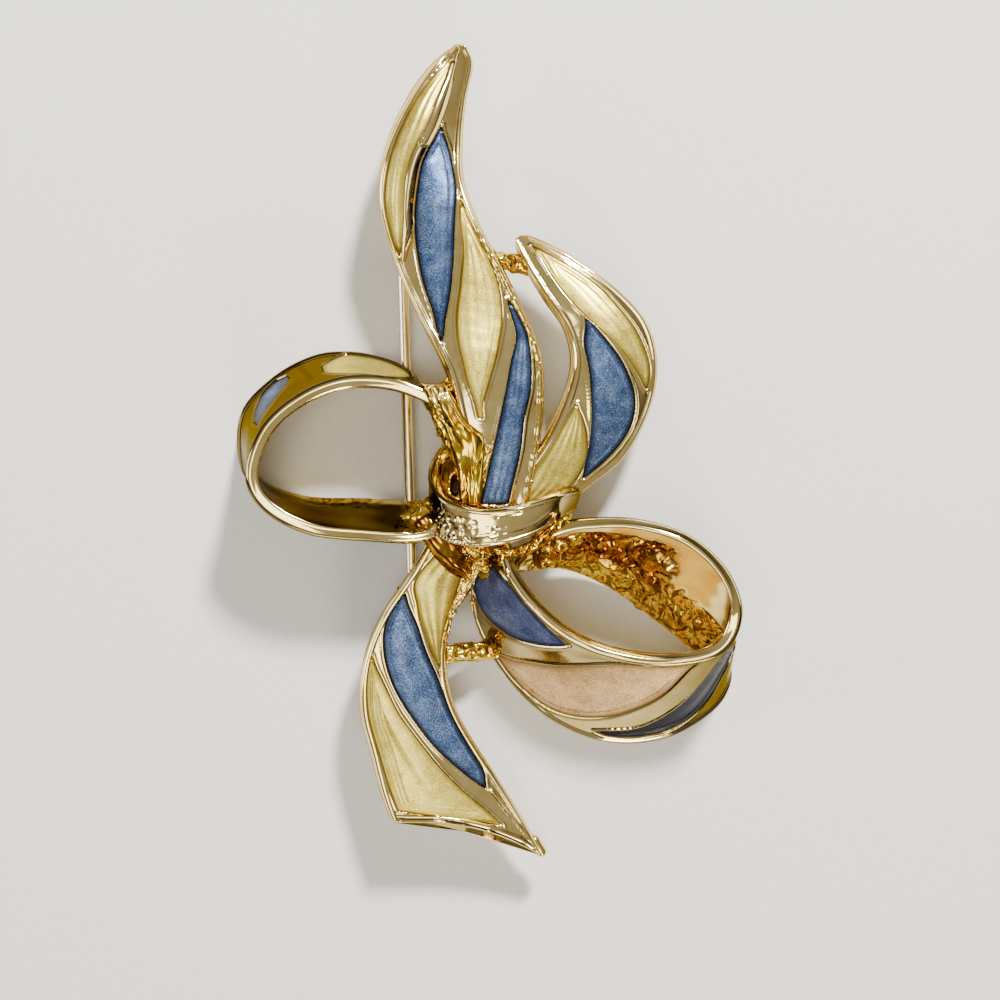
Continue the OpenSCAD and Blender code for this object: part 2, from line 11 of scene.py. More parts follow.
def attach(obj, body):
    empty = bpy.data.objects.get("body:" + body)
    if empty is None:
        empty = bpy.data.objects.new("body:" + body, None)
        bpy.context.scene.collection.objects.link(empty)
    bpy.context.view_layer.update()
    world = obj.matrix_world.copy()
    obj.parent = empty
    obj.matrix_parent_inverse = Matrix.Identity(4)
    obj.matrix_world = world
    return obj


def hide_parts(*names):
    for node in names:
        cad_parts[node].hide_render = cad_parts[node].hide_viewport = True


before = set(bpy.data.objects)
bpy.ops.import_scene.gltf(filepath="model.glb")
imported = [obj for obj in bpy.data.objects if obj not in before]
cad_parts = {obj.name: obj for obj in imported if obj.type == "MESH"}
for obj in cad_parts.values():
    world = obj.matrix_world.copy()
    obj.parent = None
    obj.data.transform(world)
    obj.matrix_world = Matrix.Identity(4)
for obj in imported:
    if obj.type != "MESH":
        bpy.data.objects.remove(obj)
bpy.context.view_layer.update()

MM = 0.001
BOW = np.array([45.6, 73.0, 11.2])  # width, length and height that the tables share out, in mm
TAIL_T, LOOP_T = 1.3, 1.0  # thickness of the tails' metal and of the loops', mm
NUDGE = 0.001  # share of a ribbon on either side over which its run is measured

# Columns: middle across, along and up the bow, share of the ribbon's width, turn and lean in degrees, crown
UPPER_TAIL_ROWS = [
    [0.029, -0.091, 0.75, 0.45, 0, -6, 0.03],
    [0.039, -0.024, 0.754, 0.59, 0, -9, 0.05],
    [0.034, 0.039, 0.746, 0.8, 2, -10, 0.07],
    [0.019, 0.107, 0.719, 0.93, 5, -9, 0.08],
    [-0.024, 0.167, 0.683, 0.99, 4, -2, 0.06],
    [-0.07, 0.227, 0.647, 1, 1, 4, 0.05],
    [-0.108, 0.284, 0.598, 0.91, -1, 7, 0.05],
    [-0.126, 0.338, 0.554, 0.8, 1, 0, 0.06],
    [-0.118, 0.39, 0.509, 0.72, 4, -9, 0.07],
    [-0.095, 0.439, 0.46, 0.59, 5, -16, 0.08],
    [-0.064, 0.482, 0.424, 0.41, 4, -20, 0.07],
    [-0.049, 0.507, 0.397, 0.13, 5, -25, 0.04],
]
UPPER_FOLD_ROWS = [
    [-0.167, 0.234, 0.634, 0.21, -1, 15, 0.02],
    [-0.174, 0.276, 0.674, 0.7, 2, 21, 0.05],
    [-0.176, 0.319, 0.701, 0.91, -2, 20, 0.08],
    [-0.163, 0.361, 0.71, 0.92, -9, 16, 0.1],
    [-0.133, 0.403, 0.688, 1, -7, 10, 0.11],
    [-0.105, 0.443, 0.625, 0.85, -4, 4, 0.1],
    [-0.078, 0.48, 0.545, 0.5, -8, -7, 0.07],
    [-0.055, 0.504, 0.464, 0.17, -15, -20, 0.03],
]
RIGHT_TAIL_ROWS = [
    [0.093, -0.078, 0.616, 0.66, 4, -15, 0.02],
    [0.144, -0.038, 0.607, 0.79, -8, -18, 0.03],
    [0.203, 0.003, 0.585, 0.95, -11, -21, 0.05],
    [0.245, 0.056, 0.562, 1, -7, -19, 0.09],
    [0.261, 0.108, 0.549, 0.97, -2, -15, 0.11],
    [0.244, 0.154, 0.554, 0.94, 2, -12, 0.11],
    [0.198, 0.192, 0.554, 0.86, 4, -7, 0.09],
    [0.138, 0.23, 0.527, 0.59, 9, -2, 0.06],
    [0.07, 0.266, 0.464, 0.17, 32, 0, 0.03],
]
LEFT_LOOP_ROWS = [
    [-0.023, -0.018, 0.536, 0.54, -124, -64, 0],
    [-0.07, 0.045, 0.527, 0.56, -180, -75, 0],
    [-0.128, 0.084, 0.504, 0.67, -232, -71, 0],
    [-0.211, 0.104, 0.473, 0.78, -237, -68, 0],
    [-0.308, 0.105, 0.438, 0.9, -231, -67, 0],
    [-0.398, 0.08, 0.411, 0.98, -216, -68, 0],
    [-0.466, 0.037, 0.402, 1, -213, -71, 0],
    [-0.482, -0.023, 0.402, 0.97, -227, -77, 0],
    [-0.442, -0.063, 0.402, 0.95, -236, -77, 0],
    [-0.352, -0.086, 0.424, 0.89, -252, -73, 0],
    [-0.241, -0.091, 0.464, 0.78, -263, -68, 0],
    [-0.145, -0.094, 0.491, 0.65, -266, -64, 0],
    [-0.065, -0.087, 0.491, 0.52, -268, -63, 0],
]
RIGHT_LOOP_ROWS = [
    [0.001, -0.138, 0.5, 0.5, -136, -51, 0],
    [0.019, -0.189, 0.478, 0.7, -122, -48, 0],
    [0.078, -0.245, 0.455, 0.85, -110, -46, 0],
    [0.162, -0.289, 0.438, 0.95, -101, -45, 0],
    [0.265, -0.312, 0.411, 1, -93, -46, 0],
    [0.377, -0.311, 0.393, 0.97, -89, -51, 0],
    [0.471, -0.284, 0.402, 0.9, -89, -58, 0],
    [0.501, -0.239, 0.42, 0.91, -92, -57, 0],
    [0.46, -0.199, 0.433, 0.98, -102, -51, 0],
    [0.38, -0.156, 0.442, 0.98, -106, -50, 0],
    [0.278, -0.124, 0.451, 0.85, -108, -55, 0],
    [0.174, -0.111, 0.464, 0.68, -113, -60, 0],
    [0.084, -0.119, 0.5, 0.52, -123, -55, 0],
]
LOWER_TAIL_ROWS = [
    [-0.053, -0.103, 0.607, 0.27, 163, 6, 0.02],
    [-0.088, -0.153, 0.562, 0.34, 171, 7, 0.04],
    [-0.137, -0.212, 0.527, 0.44, 175, 5, 0.06],
    [-0.159, -0.265, 0.509, 0.52, 180, 5, 0.08],
    [-0.153, -0.321, 0.5, 0.59, 183, 5, 0.08],
    [-0.113, -0.384, 0.491, 0.69, 183, 6, 0.07],
    [-0.033, -0.484, 0.446, 1, 166, 8, 0.04],
]
KNOT_ROWS = [
    [-0.072, -0.051, 0.29, 1, -94, -3, 0],
    [-0.105, -0.056, 0.518, 0.82, -93, -3, 0],
    [-0.101, -0.073, 0.75, 0.56, -84, -5, 0],
    [-0.063, -0.09, 0.911, 0.45, -79, -6, 0],
    [0.004, -0.096, 0.982, 0.37, -84, -7, 0],
    [0.08, -0.088, 0.938, 0.34, -86, -12, 0],
    [0.145, -0.072, 0.795, 0.29, -98, -14, 0],
    [0.184, -0.061, 0.545, 0.23, -106, -18, 0],
    [0.172, -0.06, 0.286, 0.22, -114, -12, 0],
]

# Columns: rows, width, thickness, inward curve of the far end
RIBBONS = {
    "upper_tail": (UPPER_TAIL_ROWS, 9.3, TAIL_T, 0),
    "upper_fold": (UPPER_FOLD_ROWS, 3.5, LOOP_T, 0),
    "right_tail": (RIGHT_TAIL_ROWS, 8.1, TAIL_T, 0),
    "left_loop": (LEFT_LOOP_ROWS, 9.9, LOOP_T, 0),
    "right_loop": (RIGHT_LOOP_ROWS, 12.2, LOOP_T, 0),
    "lower_tail": (LOWER_TAIL_ROWS, 14.2, TAIL_T, 0.03),
    "knot_band": (KNOT_ROWS, 8.5, LOOP_T, 0),
}

# Enamel cells. Columns: along and across the ribbon of one side, then of the other
FOLD_CREAM_CELL = [
    [0.074, -0.44, 0.056, 0.46],
    [0.207, -0.6, 0.194, 0.62],
    [0.325, -0.57, 0.327, 0.56],
    [0.445, -0.62, 0.447, 0.55],
    [0.571, -0.67, 0.563, 0.54],
    [0.711, -0.54, 0.707, 0.56],
    [0.873, 0.13, 0.853, 0.61],
]
UPPER_BLUE_CELL = [
    [0.337, -0.83, 0.333, -0.73],
    [0.368, -0.73, 0.361, -0.54],
    [0.424, -0.63, 0.421, -0.12],
    [0.491, -0.47, 0.49, 0.26],
    [0.557, -0.28, 0.556, 0.57],
    [0.618, -0.09, 0.623, 0.8],
    [0.679, 0.05, 0.683, 0.72],
    [0.737, 0.31, 0.732, 0.46],
]
UPPER_CREAM_CELL = [
    [0.184, -0.58, 0.184, -0.48],
    [0.211, -0.6, 0.207, -0.43],
    [0.251, -0.67, 0.251, -0.16],
    [0.307, -0.58, 0.301, 0.18],
    [0.366, -0.29, 0.353, 0.53],
    [0.424, 0.09, 0.423, 0.78],
    [0.494, 0.48, 0.508, 0.86],
    [0.569, 0.76, 0.57, 0.86],
]
UPPER_BLUE_LOW_CELL = [
    [0.034, -0.8, 0.034, 0.25],
    [0.07, -0.63, 0.07, 0.32],
    [0.122, -0.35, 0.122, 0.46],
    [0.179, -0.07, 0.178, 0.53],
    [0.227, 0.13, 0.226, 0.69],
    [0.272, 0.34, 0.27, 0.77],
    [0.32, 0.65, 0.319, 0.86],
    [0.373, 0.76, 0.369, 0.86],
]
RIGHT_CREAM_CELL = [
    [0.446, 0.65, 0.447, 0.79],
    [0.506, 0.28, 0.492, 0.8],
    [0.575, -0.07, 0.577, 0.66],
    [0.648, -0.38, 0.676, 0.54],
    [0.734, -0.47, 0.774, 0.57],
    [0.835, -0.4, 0.857, 0.47],
    [0.936, -0.07, 0.938, 0.21],
]
RIGHT_BLUE_CELL = [
    [0.16, 0.5, 0.162, 0.6],
    [0.209, 0.2, 0.228, 0.62],
    [0.276, -0.09, 0.326, 0.69],
    [0.362, -0.4, 0.405, 0.52],
    [0.456, -0.63, 0.493, 0.13],
    [0.556, -0.73, 0.575, -0.22],
    [0.634, -0.53, 0.641, -0.41],
]
RIGHT_CREAM_FOOT_CELL = [
    [0.045, -0.86, 0.047, 0.12],
    [0.122, -0.86, 0.124, 0.44],
    [0.206, -0.86, 0.216, 0.15],
    [0.287, -0.86, 0.29, -0.26],
    [0.355, -0.78, 0.351, -0.68],
]
LEFT_CREAM_CELL = [
    [0.188, 0.1, 0.184, 0.86],
    [0.214, -0.52, 0.2, 0.86],
    [0.249, -0.8, 0.231, 0.86],
    [0.281, -0.77, 0.265, 0.86],
    [0.311, -0.68, 0.296, 0.82],
    [0.334, -0.53, 0.323, 0.49],
    [0.349, -0.3, 0.345, 0.22],
]
LEFT_BLUE_CELL = [
    [0.403, 0.29, 0.401, 0.63],
    [0.42, 0.03, 0.419, 0.74],
    [0.442, -0.18, 0.442, 0.69],
    [0.466, -0.38, 0.462, 0.53],
    [0.484, -0.48, 0.482, 0.24],
    [0.499, -0.57, 0.498, -0.15],
]
LOOP_BLUE_CELL = [
    [0.024, -0.43, 0.005, 0.11],
    [0.087, -0.78, 0.019, 0.81],
    [0.139, -0.86, 0.065, 0.65],
    [0.186, -0.86, 0.118, 0.28],
    [0.214, -0.84, 0.171, -0.18],
    [0.235, -0.8, 0.229, -0.7],
]
LOOP_BLUSH_CELL = [
    [0.138, 0.76, 0.138, 0.86],
    [0.193, 0.12, 0.184, 0.86],
    [0.251, -0.38, 0.24, 0.78],
    [0.316, -0.75, 0.297, 0.55],
    [0.378, -0.86, 0.351, 0.24],
    [0.424, -0.86, 0.402, -0.19],
    [0.449, -0.86, 0.44, -0.76],
]
LOOP_BLUE_END_CELL = [
    [0.323, 0.76, 0.321, 0.86],
    [0.376, 0.61, 0.375, 0.86],
    [0.432, 0.2, 0.432, 0.8],
    [0.466, -0.29, 0.474, 0.51],
    [0.488, -0.69, 0.511, -0.07],
    [0.509, -0.86, 0.551, -0.4],
]
LOWER_CREAM_CELL = [
    [0.08, -0.7, 0.09, 0.5],
    [0.177, -0.79, 0.198, 0.72],
    [0.268, -0.86, 0.279, 0.16],
    [0.373, -0.86, 0.376, -0.37],
    [0.485, -0.86, 0.484, -0.76],
]
LOWER_BLUE_CELL = [
    [0.264, 0.63, 0.267, 0.8],
    [0.341, -0.02, 0.35, 0.8],
    [0.434, -0.43, 0.446, 0.59],
    [0.565, -0.79, 0.565, 0.29],
    [0.69, -0.86, 0.684, -0.01],
    [0.809, -0.86, 0.804, -0.24],
    [0.862, -0.86, 0.864, -0.48],
    [0.888, -0.75, 0.89, -0.65],
]
LOWER_CREAM_END_CELL = [
    [0.499, 0.76, 0.499, 0.86],
    [0.594, 0.43, 0.628, 0.86],
    [0.733, 0.13, 0.759, 0.86],
    [0.871, -0.18, 0.87, 0.86],
    [0.958, -0.64, 0.963, 0.86],
]

# Columns: ribbon, outline, finish, lengthwise pleats, pleat height in mm, contour steps in mm from the edge,
# side with the steps (-1 the first side, 1 the other, 0 both)
CELLS = {
    "fold_cream": ("upper_fold", FOLD_CREAM_CELL, "cream", 3, 0.06, (), 0),
    "upper_blue": ("upper_tail", UPPER_BLUE_CELL, "blue", 0, 0, (0.5,), 1),
    "upper_cream": ("upper_tail", UPPER_CREAM_CELL, "cream", 4, 0.025, (0.45,), 1),
    "upper_blue_low": ("upper_tail", UPPER_BLUE_LOW_CELL, "blue", 4, 0.045, (), 0),
    "right_cream": ("right_tail", RIGHT_CREAM_CELL, "cream", 0, 0, (0.4, 0.75), 1),
    "right_blue": ("right_tail", RIGHT_BLUE_CELL, "blue", 0, 0, (0.55,), 1),
    "right_cream_foot": ("right_tail", RIGHT_CREAM_FOOT_CELL, "cream", 5, 0.035, (), 0),
    "left_cream": ("left_loop", LEFT_CREAM_CELL, "cream", 0, 0, (), 0),
    "left_blue": ("left_loop", LEFT_BLUE_CELL, "blue", 0, 0, (), 0),
    "loop_blue": ("right_loop", LOOP_BLUE_CELL, "blue", 0, 0, (0.5,), -1),
    "loop_blush": ("right_loop", LOOP_BLUSH_CELL, "blush", 2, 0.02, (0.6,), 1),
    "loop_blue_end": ("right_loop", LOOP_BLUE_END_CELL, "blue", 0, 0, (0.5,), 1),
    "lower_cream": ("lower_tail", LOWER_CREAM_CELL, "cream", 3, 0.045, (), 0),
    "lower_blue": ("lower_tail", LOWER_BLUE_CELL, "blue", 3, 0.02, (0.45,), 0),
    "lower_cream_end": ("lower_tail", LOWER_CREAM_END_CELL, "cream", 0, 0, (0.4, 0.75, 1.15), 1),
}

# Cast bridges. Columns: ribbon, along and across, the same of the other end, radius in mm
BRIDGES = [
    ("upper_tail", 0.47, 0.9, "right_tail", 0.9, -0.7, 0.798),
    ("lower_tail", 0.47, -0.9, "right_loop", 0.13, 0.85, 0.798),
    ("left_loop", 0.13, -0.8, "upper_tail", 0.25, -0.9, 0.722),
    ("upper_tail", 0.01, 0.05, "lower_tail", 0.07, 0.1, 1.900),
    ("right_tail", 0.06, 0.1, "lower_tail", 0.01, -0.7, 1.520),
    ("left_loop", 0.02, 0.3, "upper_tail", 0.05, -0.6, 1.330),
    ("left_loop", 0.11, -0.85, "upper_tail", 0.03, -0.85, 0.760),
    ("left_loop", 0.97, 0.15, "lower_tail", 0.02, 0.6, 1.178),
    ("right_loop", 0.03, 0.05, "lower_tail", 0.03, -0.3, 1.292),
    ("right_loop", 0.97, 0.1, "right_tail", 0.01, 0.4, 1.064),
    ("knot_band", 0.5, 0.2, "upper_tail", 0.03, 0.35, 1.102),
    ("knot_band", 0.05, 0.35, "left_loop", 0.95, -0.1, 0.950),
    ("knot_band", 0.96, -0.1, "right_loop", 0.95, -0.4, 0.760),
    ("upper_fold", 0.04, 0, "upper_tail", 0.47, -0.8, 0.608),
    ("upper_fold", 0.95, 0.1, "upper_tail", 0.96, -0.3, 0.570),
]


def spline(rows, t):
    """Smooth curve through a table's rows at shares t of their run."""
    rows = np.asarray(rows, float)
    last = len(rows) - 1
    x = np.clip(np.asarray(t, float), 0, 1) * last
    i = np.minimum(np.floor(x).astype(int), last - 1)
    f = (x - i)[..., None]
    padded = np.vstack([2 * rows[0] - rows[1], rows, 2 * rows[-1] - rows[-2]])
    a, b, c, d = (padded[i + k] for k in range(4))
    return (2 * b + (c - a) * f + (2 * a - 5 * b + 4 * c - d) * f**2 + (3 * b - 3 * c + d - a) * f**3) / 2


def unit(v):
    return v / np.linalg.norm(v, axis=-1, keepdims=True)


def middle(ribbon, u):
    return spline(RIBBONS[ribbon][0], u)[..., :3] * BOW


def run_at(ribbon, u):
    """Direction along a ribbon's middle line."""
    return unit(middle(ribbon, np.minimum(u + NUDGE, 1)) - middle(ribbon, np.maximum(u - NUDGE, 0)))


def point_at(ribbon, u, v, h=0):
    """Points of a ribbon in mm: u along it, v across it from -1 to 1, h above its face."""
    rows, width = RIBBONS[ribbon][:2]
    u, v = np.asarray(u, float), np.asarray(v, float)
    row = spline(rows, u)
    turn, lean = np.radians(row[..., 4]), np.radians(row[..., 5])
    across = np.stack([np.cos(lean) * np.cos(turn), np.cos(lean) * np.sin(turn), np.sin(lean)], -1)
    face = unit(np.cross(across, run_at(ribbon, u)))
    wide = row[..., 3] * width
    rise = h + row[..., 6] * wide * (1 - np.clip(v, -1, 1) ** 2)
    return row[..., :3] * BOW + across * (v * wide / 2)[..., None] + face * rise[..., None]


def along_at(ribbon, u, v):
    """Share along the run where the curved far end puts a point."""
    return u * (1 - RIBBONS[ribbon][3] * (1 - np.clip(v, -1, 1) ** 2) * u**6)


def half_width(ribbon, u):
    return spline(RIBBONS[ribbon][0], u)[..., 3] * RIBBONS[ribbon][1] / 2


def run_length(ribbon, u):
    """Length in mm along a ribbon's middle line up to shares u."""
    grid = np.linspace(0, 1, 400)
    steps = np.linalg.norm(np.diff(middle(ribbon, grid), axis=0), axis=1)
    return np.interp(u, grid, np.concatenate([[0], np.cumsum(steps)]))


def cell_sides(cell, s):
    """Two sides of a cell at shares s of its length, as along and across the ribbon."""
    row = spline(CELLS[cell][1], s)
    return row[..., :2], row[..., 2:]


def flat(ribbon, u, v):
    """A ribbon's surface laid flat, in mm along and across."""
    return np.stack([run_length(ribbon, u), v * half_width(ribbon, u)], -1)


FAR, TINY = 1e9, 1e-12  # more, and less, than any length in mm here
TAPER = 0.75  # a cell's end is pointed where it is narrower than this share of the width just before it
POINTED_W = 1.3  # and narrower than this, mm
TIP_REACH, BLUNT_REACH = 0.9, 0.06  # most that a pointed end is carried on, and what a blunt one is, mm
OUTLINE_STEPS = 48


def span(ribbon, ends):
    """Distance in mm between two points of a ribbon, given along and across it."""
    return np.linalg.norm(np.diff(flat(ribbon, ends[:, 0], ends[:, 1]), axis=0))


def cell_tips(cell):
    """Ends of a cell, along and across its ribbon: where its sides would meet, or just past a blunt end."""
    ribbon, tips = CELLS[cell][0], []
    for end, before in ((0.0, 0.07), (1.0, 0.93)):
        here, inner = (np.array(cell_sides(cell, np.array(s))) for s in (end, before))
        wide, wider = span(ribbon, here), span(ribbon, inner)
        middles = np.array([here.mean(0), inner.mean(0)])
        step = span(ribbon, middles)
        pointed = wide < TAPER * wider and wide < POINTED_W
        reach = min(step * wide / (wider - wide), TIP_REACH) if pointed else BLUNT_REACH
        tips.append(middles[0] + (middles[0] - middles[1]) * reach / step)
    return tips


def cell_outline(cell):
    """A cell's edge laid flat: its first tip, one side, its last tip and the other side backwards."""
    left, right = cell_sides(cell, np.linspace(0, 1, OUTLINE_STEPS))
    first, last = cell_tips(cell)
    loop = np.vstack([first, left, last, right[::-1]])
    return flat(CELLS[cell][0], loop[:, 0], loop[:, 1])


def outside_by(points, outline):
    """Distance in mm of flat points from a closed outline, negative inside it."""
    best = np.full(len(points), FAR)
    inside = np.zeros(len(points), bool)
    for a, b in zip(outline, np.roll(outline, -1, 0)):
        ab = b - a
        if ab @ ab < TINY:
            continue
        t = np.clip(((points - a) @ ab) / (ab @ ab), 0, 1)
        best = np.minimum(best, np.linalg.norm(points - a - t[:, None] * ab, axis=1))
        crosses = (a[1] > points[:, 1]) != (b[1] > points[:, 1])
        if crosses.any():
            x = a[0] + (points[:, 1] - a[1]) * ab[0] / (ab[1] if ab[1] else TINY)
            inside ^= crosses & (points[:, 0] < x)
    return np.where(inside, -best, best)


def smooth(x, low, high):
    t = np.clip((x - low) / (high - low), 0, 1)
    return t * t * (3 - 2 * t)


def waves(points, size, seed, count=7):
    """Gentle unevenness from -1 to 1 over points in mm, with swells of about the given size in mm."""
    rng = np.random.default_rng(seed)
    total = np.zeros(points.shape[:-1])
    for _ in range(count):
        way = unit(rng.normal(size=points.shape[-1]))
        total += np.sin(points @ way * 2 * math.pi / (size * rng.uniform(0.7, 1.5)) + rng.uniform(0, 6.3))
    return total / count**0.5 / 1.4


def crumple(points, size, seed):
    """Creased unevenness from about -1 to 1, like metal set in a rough mould. Size: the creases' in mm."""
    shift = np.stack([waves(points, size * 2.3, seed + k, 9) for k in (1, 2, 3)], -1)
    bent = points + shift * size * 0.6
    folds = waves(bent, size * 1.7, seed, 11) * 0.75 + waves(bent, size * 0.8, seed + 4, 11) * 0.3
    return 1 - 2.2 * np.abs(folds)


def near_line(points, line):
    """Distance in mm of flat points from a line of flat points, and how far along it they lie from 0 to 1."""
    best, along = np.full(len(points), FAR), np.zeros(len(points))
    for k, (a, b) in enumerate(zip(line[:-1], line[1:])):
        t = np.clip(((points - a) @ (b - a)) / ((b - a) @ (b - a)), 0, 1)
        away = np.linalg.norm(points - a - t[:, None] * (b - a), axis=1)
        along = np.where(away < best, (k + t) / (len(line) - 1), along)
        best = np.minimum(best, away)
    return best, along


def linear(hex_colour):
    """sRGB hex to linear RGBA."""
    parts = [int(hex_colour[i : i + 2], 16) / 255 for i in (1, 3, 5)]
    return (*(c / 12.92 if c <= 0.04045 else ((c + 0.055) / 1.055) ** 2.4 for c in parts), 1)


def add_node(tree, kind, inputs=None, stops=(), **settings):
    """Adds a shader node with its settings, its inputs as values or sockets to link, and a ramp's colours."""
    made = tree.nodes.new(kind)
    for name, value in settings.items():
        setattr(made, name, value)
    for key, value in (inputs or {}).items():
        if isinstance(value, bpy.types.NodeSocket):
            tree.links.new(value, made.inputs[key])
        else:
            made.inputs[key].default_value = value
    for k, (position, colour) in enumerate(stops):
        points = made.color_ramp.elements
        point = points[k] if k < len(points) else points.new(position)
        point.position, point.color = position, linear(colour)
    return made


# Materials


def new_material(name):
    """Empty material with its tree, its Principled shader and object coordinates."""
    material = bpy.data.materials.new(name)
    material.use_nodes = True
    tree = material.node_tree
    place = add_node(tree, "ShaderNodeTexCoord").outputs["Object"]
    return material, tree, tree.nodes["Principled BSDF"], place


# Values that the casting's points carry: how rough it was cast, how deep in a hollow, how browned by old
# polish, and how much painted shade and painted dark reflection darken it
GILT_VALUES = ("grain", "hollow", "stain", "dull")


def gilt_metal():
    """Zinc alloy cast, buffed and plated with gold: mirror-bright on the ribbons, crumpled and glittering
    where the buff could not reach (grain), richer yellow in the hollows, browned by old polish in the deepest
    of them (stain), and painted shade and painted dark reflection in olive-brown on steep faces, deep
    grooves, the loops' walls and a hole by the knot (dull)."""
    material, tree, shader, place = new_material("gold_plated_cast_zinc")
    grain, hollow, stain, dull = (
        add_node(tree, "ShaderNodeAttribute", attribute_name=key).outputs["Fac"] for key in GILT_VALUES
    )
    # Smears of polish, drifts of colour in the hollows, drifts of the brown, the buffing ripple and the
    # casting's skin, all a little coarser than life so that they show. Columns: size in mm, detail, roughness
    noises = ((2.2, 4, 0.5), (1.7, 3, 0.5), (0.9, 4, 0.6), (0.5, 2, 0.5), (0.45, 3, 0.55))
    smear, drift, soil, ripple, skin = (
        add_node(
            tree, "ShaderNodeTexNoise",
            {"Vector": place, "Scale": 1 / (size * MM), "Detail": detail, "Roughness": roughness},
        ).outputs["Fac"]
        for size, detail, roughness in noises
    )
    clean, rich, brown = (
        add_node(tree, "ShaderNodeValToRGB", {"Fac": pattern}, stops=stops).outputs["Color"]
        for pattern, stops in (
            (smear, ((0.3, "#E6CA80"), (0.7, "#F6E1A2"))),
            (drift, ((0.36, "#CC9620"), (0.5, "#E6B830"), (0.62, "#F4D64A"))),
            (soil, ((0.35, "#43200D"), (0.5, "#864A18"), (0.64, "#BF8A34"))),
        )
    )
    colour = clean
    # The last mix lays painted shade and painted dark reflection: a dark olive-brown over the colour
    for amount, over in ((hollow, rich), (stain, brown), (dull, linear("#4E4226"))):
        colour = add_node(tree, "ShaderNodeMix", {0: amount, 6: colour, 7: over}, data_type="RGBA").outputs[2]
    tree.links.new(colour, shader.inputs["Base Color"])
    shader.inputs["Metallic"].default_value = 1.0
    # Thin gold over zinc stays warm where it is seen edge-on
    shader.inputs["Specular Tint"].default_value = linear("#AEA07A")
    buffed = add_node(tree, "ShaderNodeMapRange", {"Value": smear, 3: 0.07, 4: 0.14}).outputs["Result"]
    rough = add_node(
        tree, "ShaderNodeMath", {0: grain, 1: 0.08, 2: buffed}, operation="MULTIPLY_ADD"
    ).outputs[0]
    tree.links.new(rough, shader.inputs["Roughness"])
    fine = add_node(
        tree, "ShaderNodeBump", {"Height": ripple, "Distance": 0.006 * MM, "Strength": 0.5}
    ).outputs[0]
    cast = add_node(
        tree, "ShaderNodeBump", {"Height": skin, "Distance": 0.05 * MM, "Strength": grain, "Normal": fine}
    ).outputs[0]
    tree.links.new(cast, shader.inputs["Normal"])
    return material


def enamel_material(name, deep, body, light, metallic, roughness, flake_mm):
    """Pearl enamel poured into a cell: mica flakes under a glassy face, darker where it thins at the wall."""
    material, tree, shader, place = new_material(name)
    edge = add_node(tree, "ShaderNodeAttribute", attribute_name="edge").outputs["Fac"]
    clouds, flakes = (
        add_node(
            tree, "ShaderNodeTexNoise",
            {"Vector": place, "Scale": 1 / (size * MM), "Detail": detail, "Roughness": fineness},
        ).outputs["Fac"]
        for size, detail, fineness in ((1.6, 4, 0.6), (flake_mm, 2, 0.8))
    )
    cloud_tone = add_node(tree, "ShaderNodeMath", {0: clouds, 1: 0.3}, operation="MULTIPLY").outputs[0]
    tone = add_node(
        tree, "ShaderNodeMath", {0: flakes, 1: 0.7, 2: cloud_tone}, operation="MULTIPLY_ADD"
    ).outputs[0]
    pearl = add_node(
        tree, "ShaderNodeValToRGB", {"Fac": tone}, stops=((0.32, deep), (0.5, body), (0.72, light))
    ).outputs["Color"]
    thin = add_node(
        tree, "ShaderNodeMapRange", {"Value": edge, 1: 0.05, 2: 0.6, 3: 1.0, 4: 0.0}
    ).outputs["Result"]
    colour = add_node(
        tree, "ShaderNodeMix", {0: thin, 6: pearl, 7: linear(deep)}, data_type="RGBA"
    ).outputs[2]
    tree.links.new(colour, shader.inputs["Base Color"])
    shader.inputs["Metallic"].default_value = metallic
    shader.inputs["Coat Weight"].default_value = 0.15
    shader.inputs["Coat Roughness"].default_value = 0.12
    shader.inputs["Specular Tint"].default_value = linear(body)
    rough = add_node(
        tree, "ShaderNodeMapRange", {"Value": flakes, 3: roughness - 0.06, 4: roughness + 0.1}
    ).outputs["Result"]
    tree.links.new(rough, shader.inputs["Roughness"])
    glitter = add_node(
        tree, "ShaderNodeBump", {"Height": flakes, "Distance": 0.03 * MM, "Strength": 0.35}
    ).outputs[0]
    pooled = add_node(
        tree, "ShaderNodeBump", {"Height": clouds, "Distance": 0.1 * MM, "Strength": 0.25, "Normal": glitter}
    ).outputs[0]
    tree.links.new(pooled, shader.inputs["Normal"])
    return material


def pin_metal():
    """Hard-drawn steel wire, gilt and rubbed lengthwise: fine lines run along it, drawn coarse to show."""
    material, tree, shader, place = new_material("gilt_steel_wire")
    drawn = add_node(tree, "ShaderNodeMapping", {"Vector": place, "Scale": (1, 0.04, 1)}).outputs["Vector"]
    lines = add_node(
        tree, "ShaderNodeTexNoise",
        {"Vector": drawn, "Scale": 1 / (0.08 * MM), "Detail": 3.0, "Roughness": 0.5},
    ).outputs["Fac"]
    colour = add_node(tree, "ShaderNodeValToRGB", {"Fac": lines}, stops=((0.3, "#CDB98C"), (0.7, "#E6D7AE")))
    tree.links.new(colour.outputs["Color"], shader.inputs["Base Color"])
    shader.inputs["Metallic"].default_value = 1.0
    rough = add_node(tree, "ShaderNodeMapRange", {"Value": lines, 3: 0.16, 4: 0.28}).outputs["Result"]
    tree.links.new(rough, shader.inputs["Roughness"])
    grooves = add_node(
        tree, "ShaderNodeBump", {"Height": lines, "Distance": 0.01 * MM, "Strength": 0.3}
    ).outputs[0]
    tree.links.new(grooves, shader.inputs["Normal"])
    return material


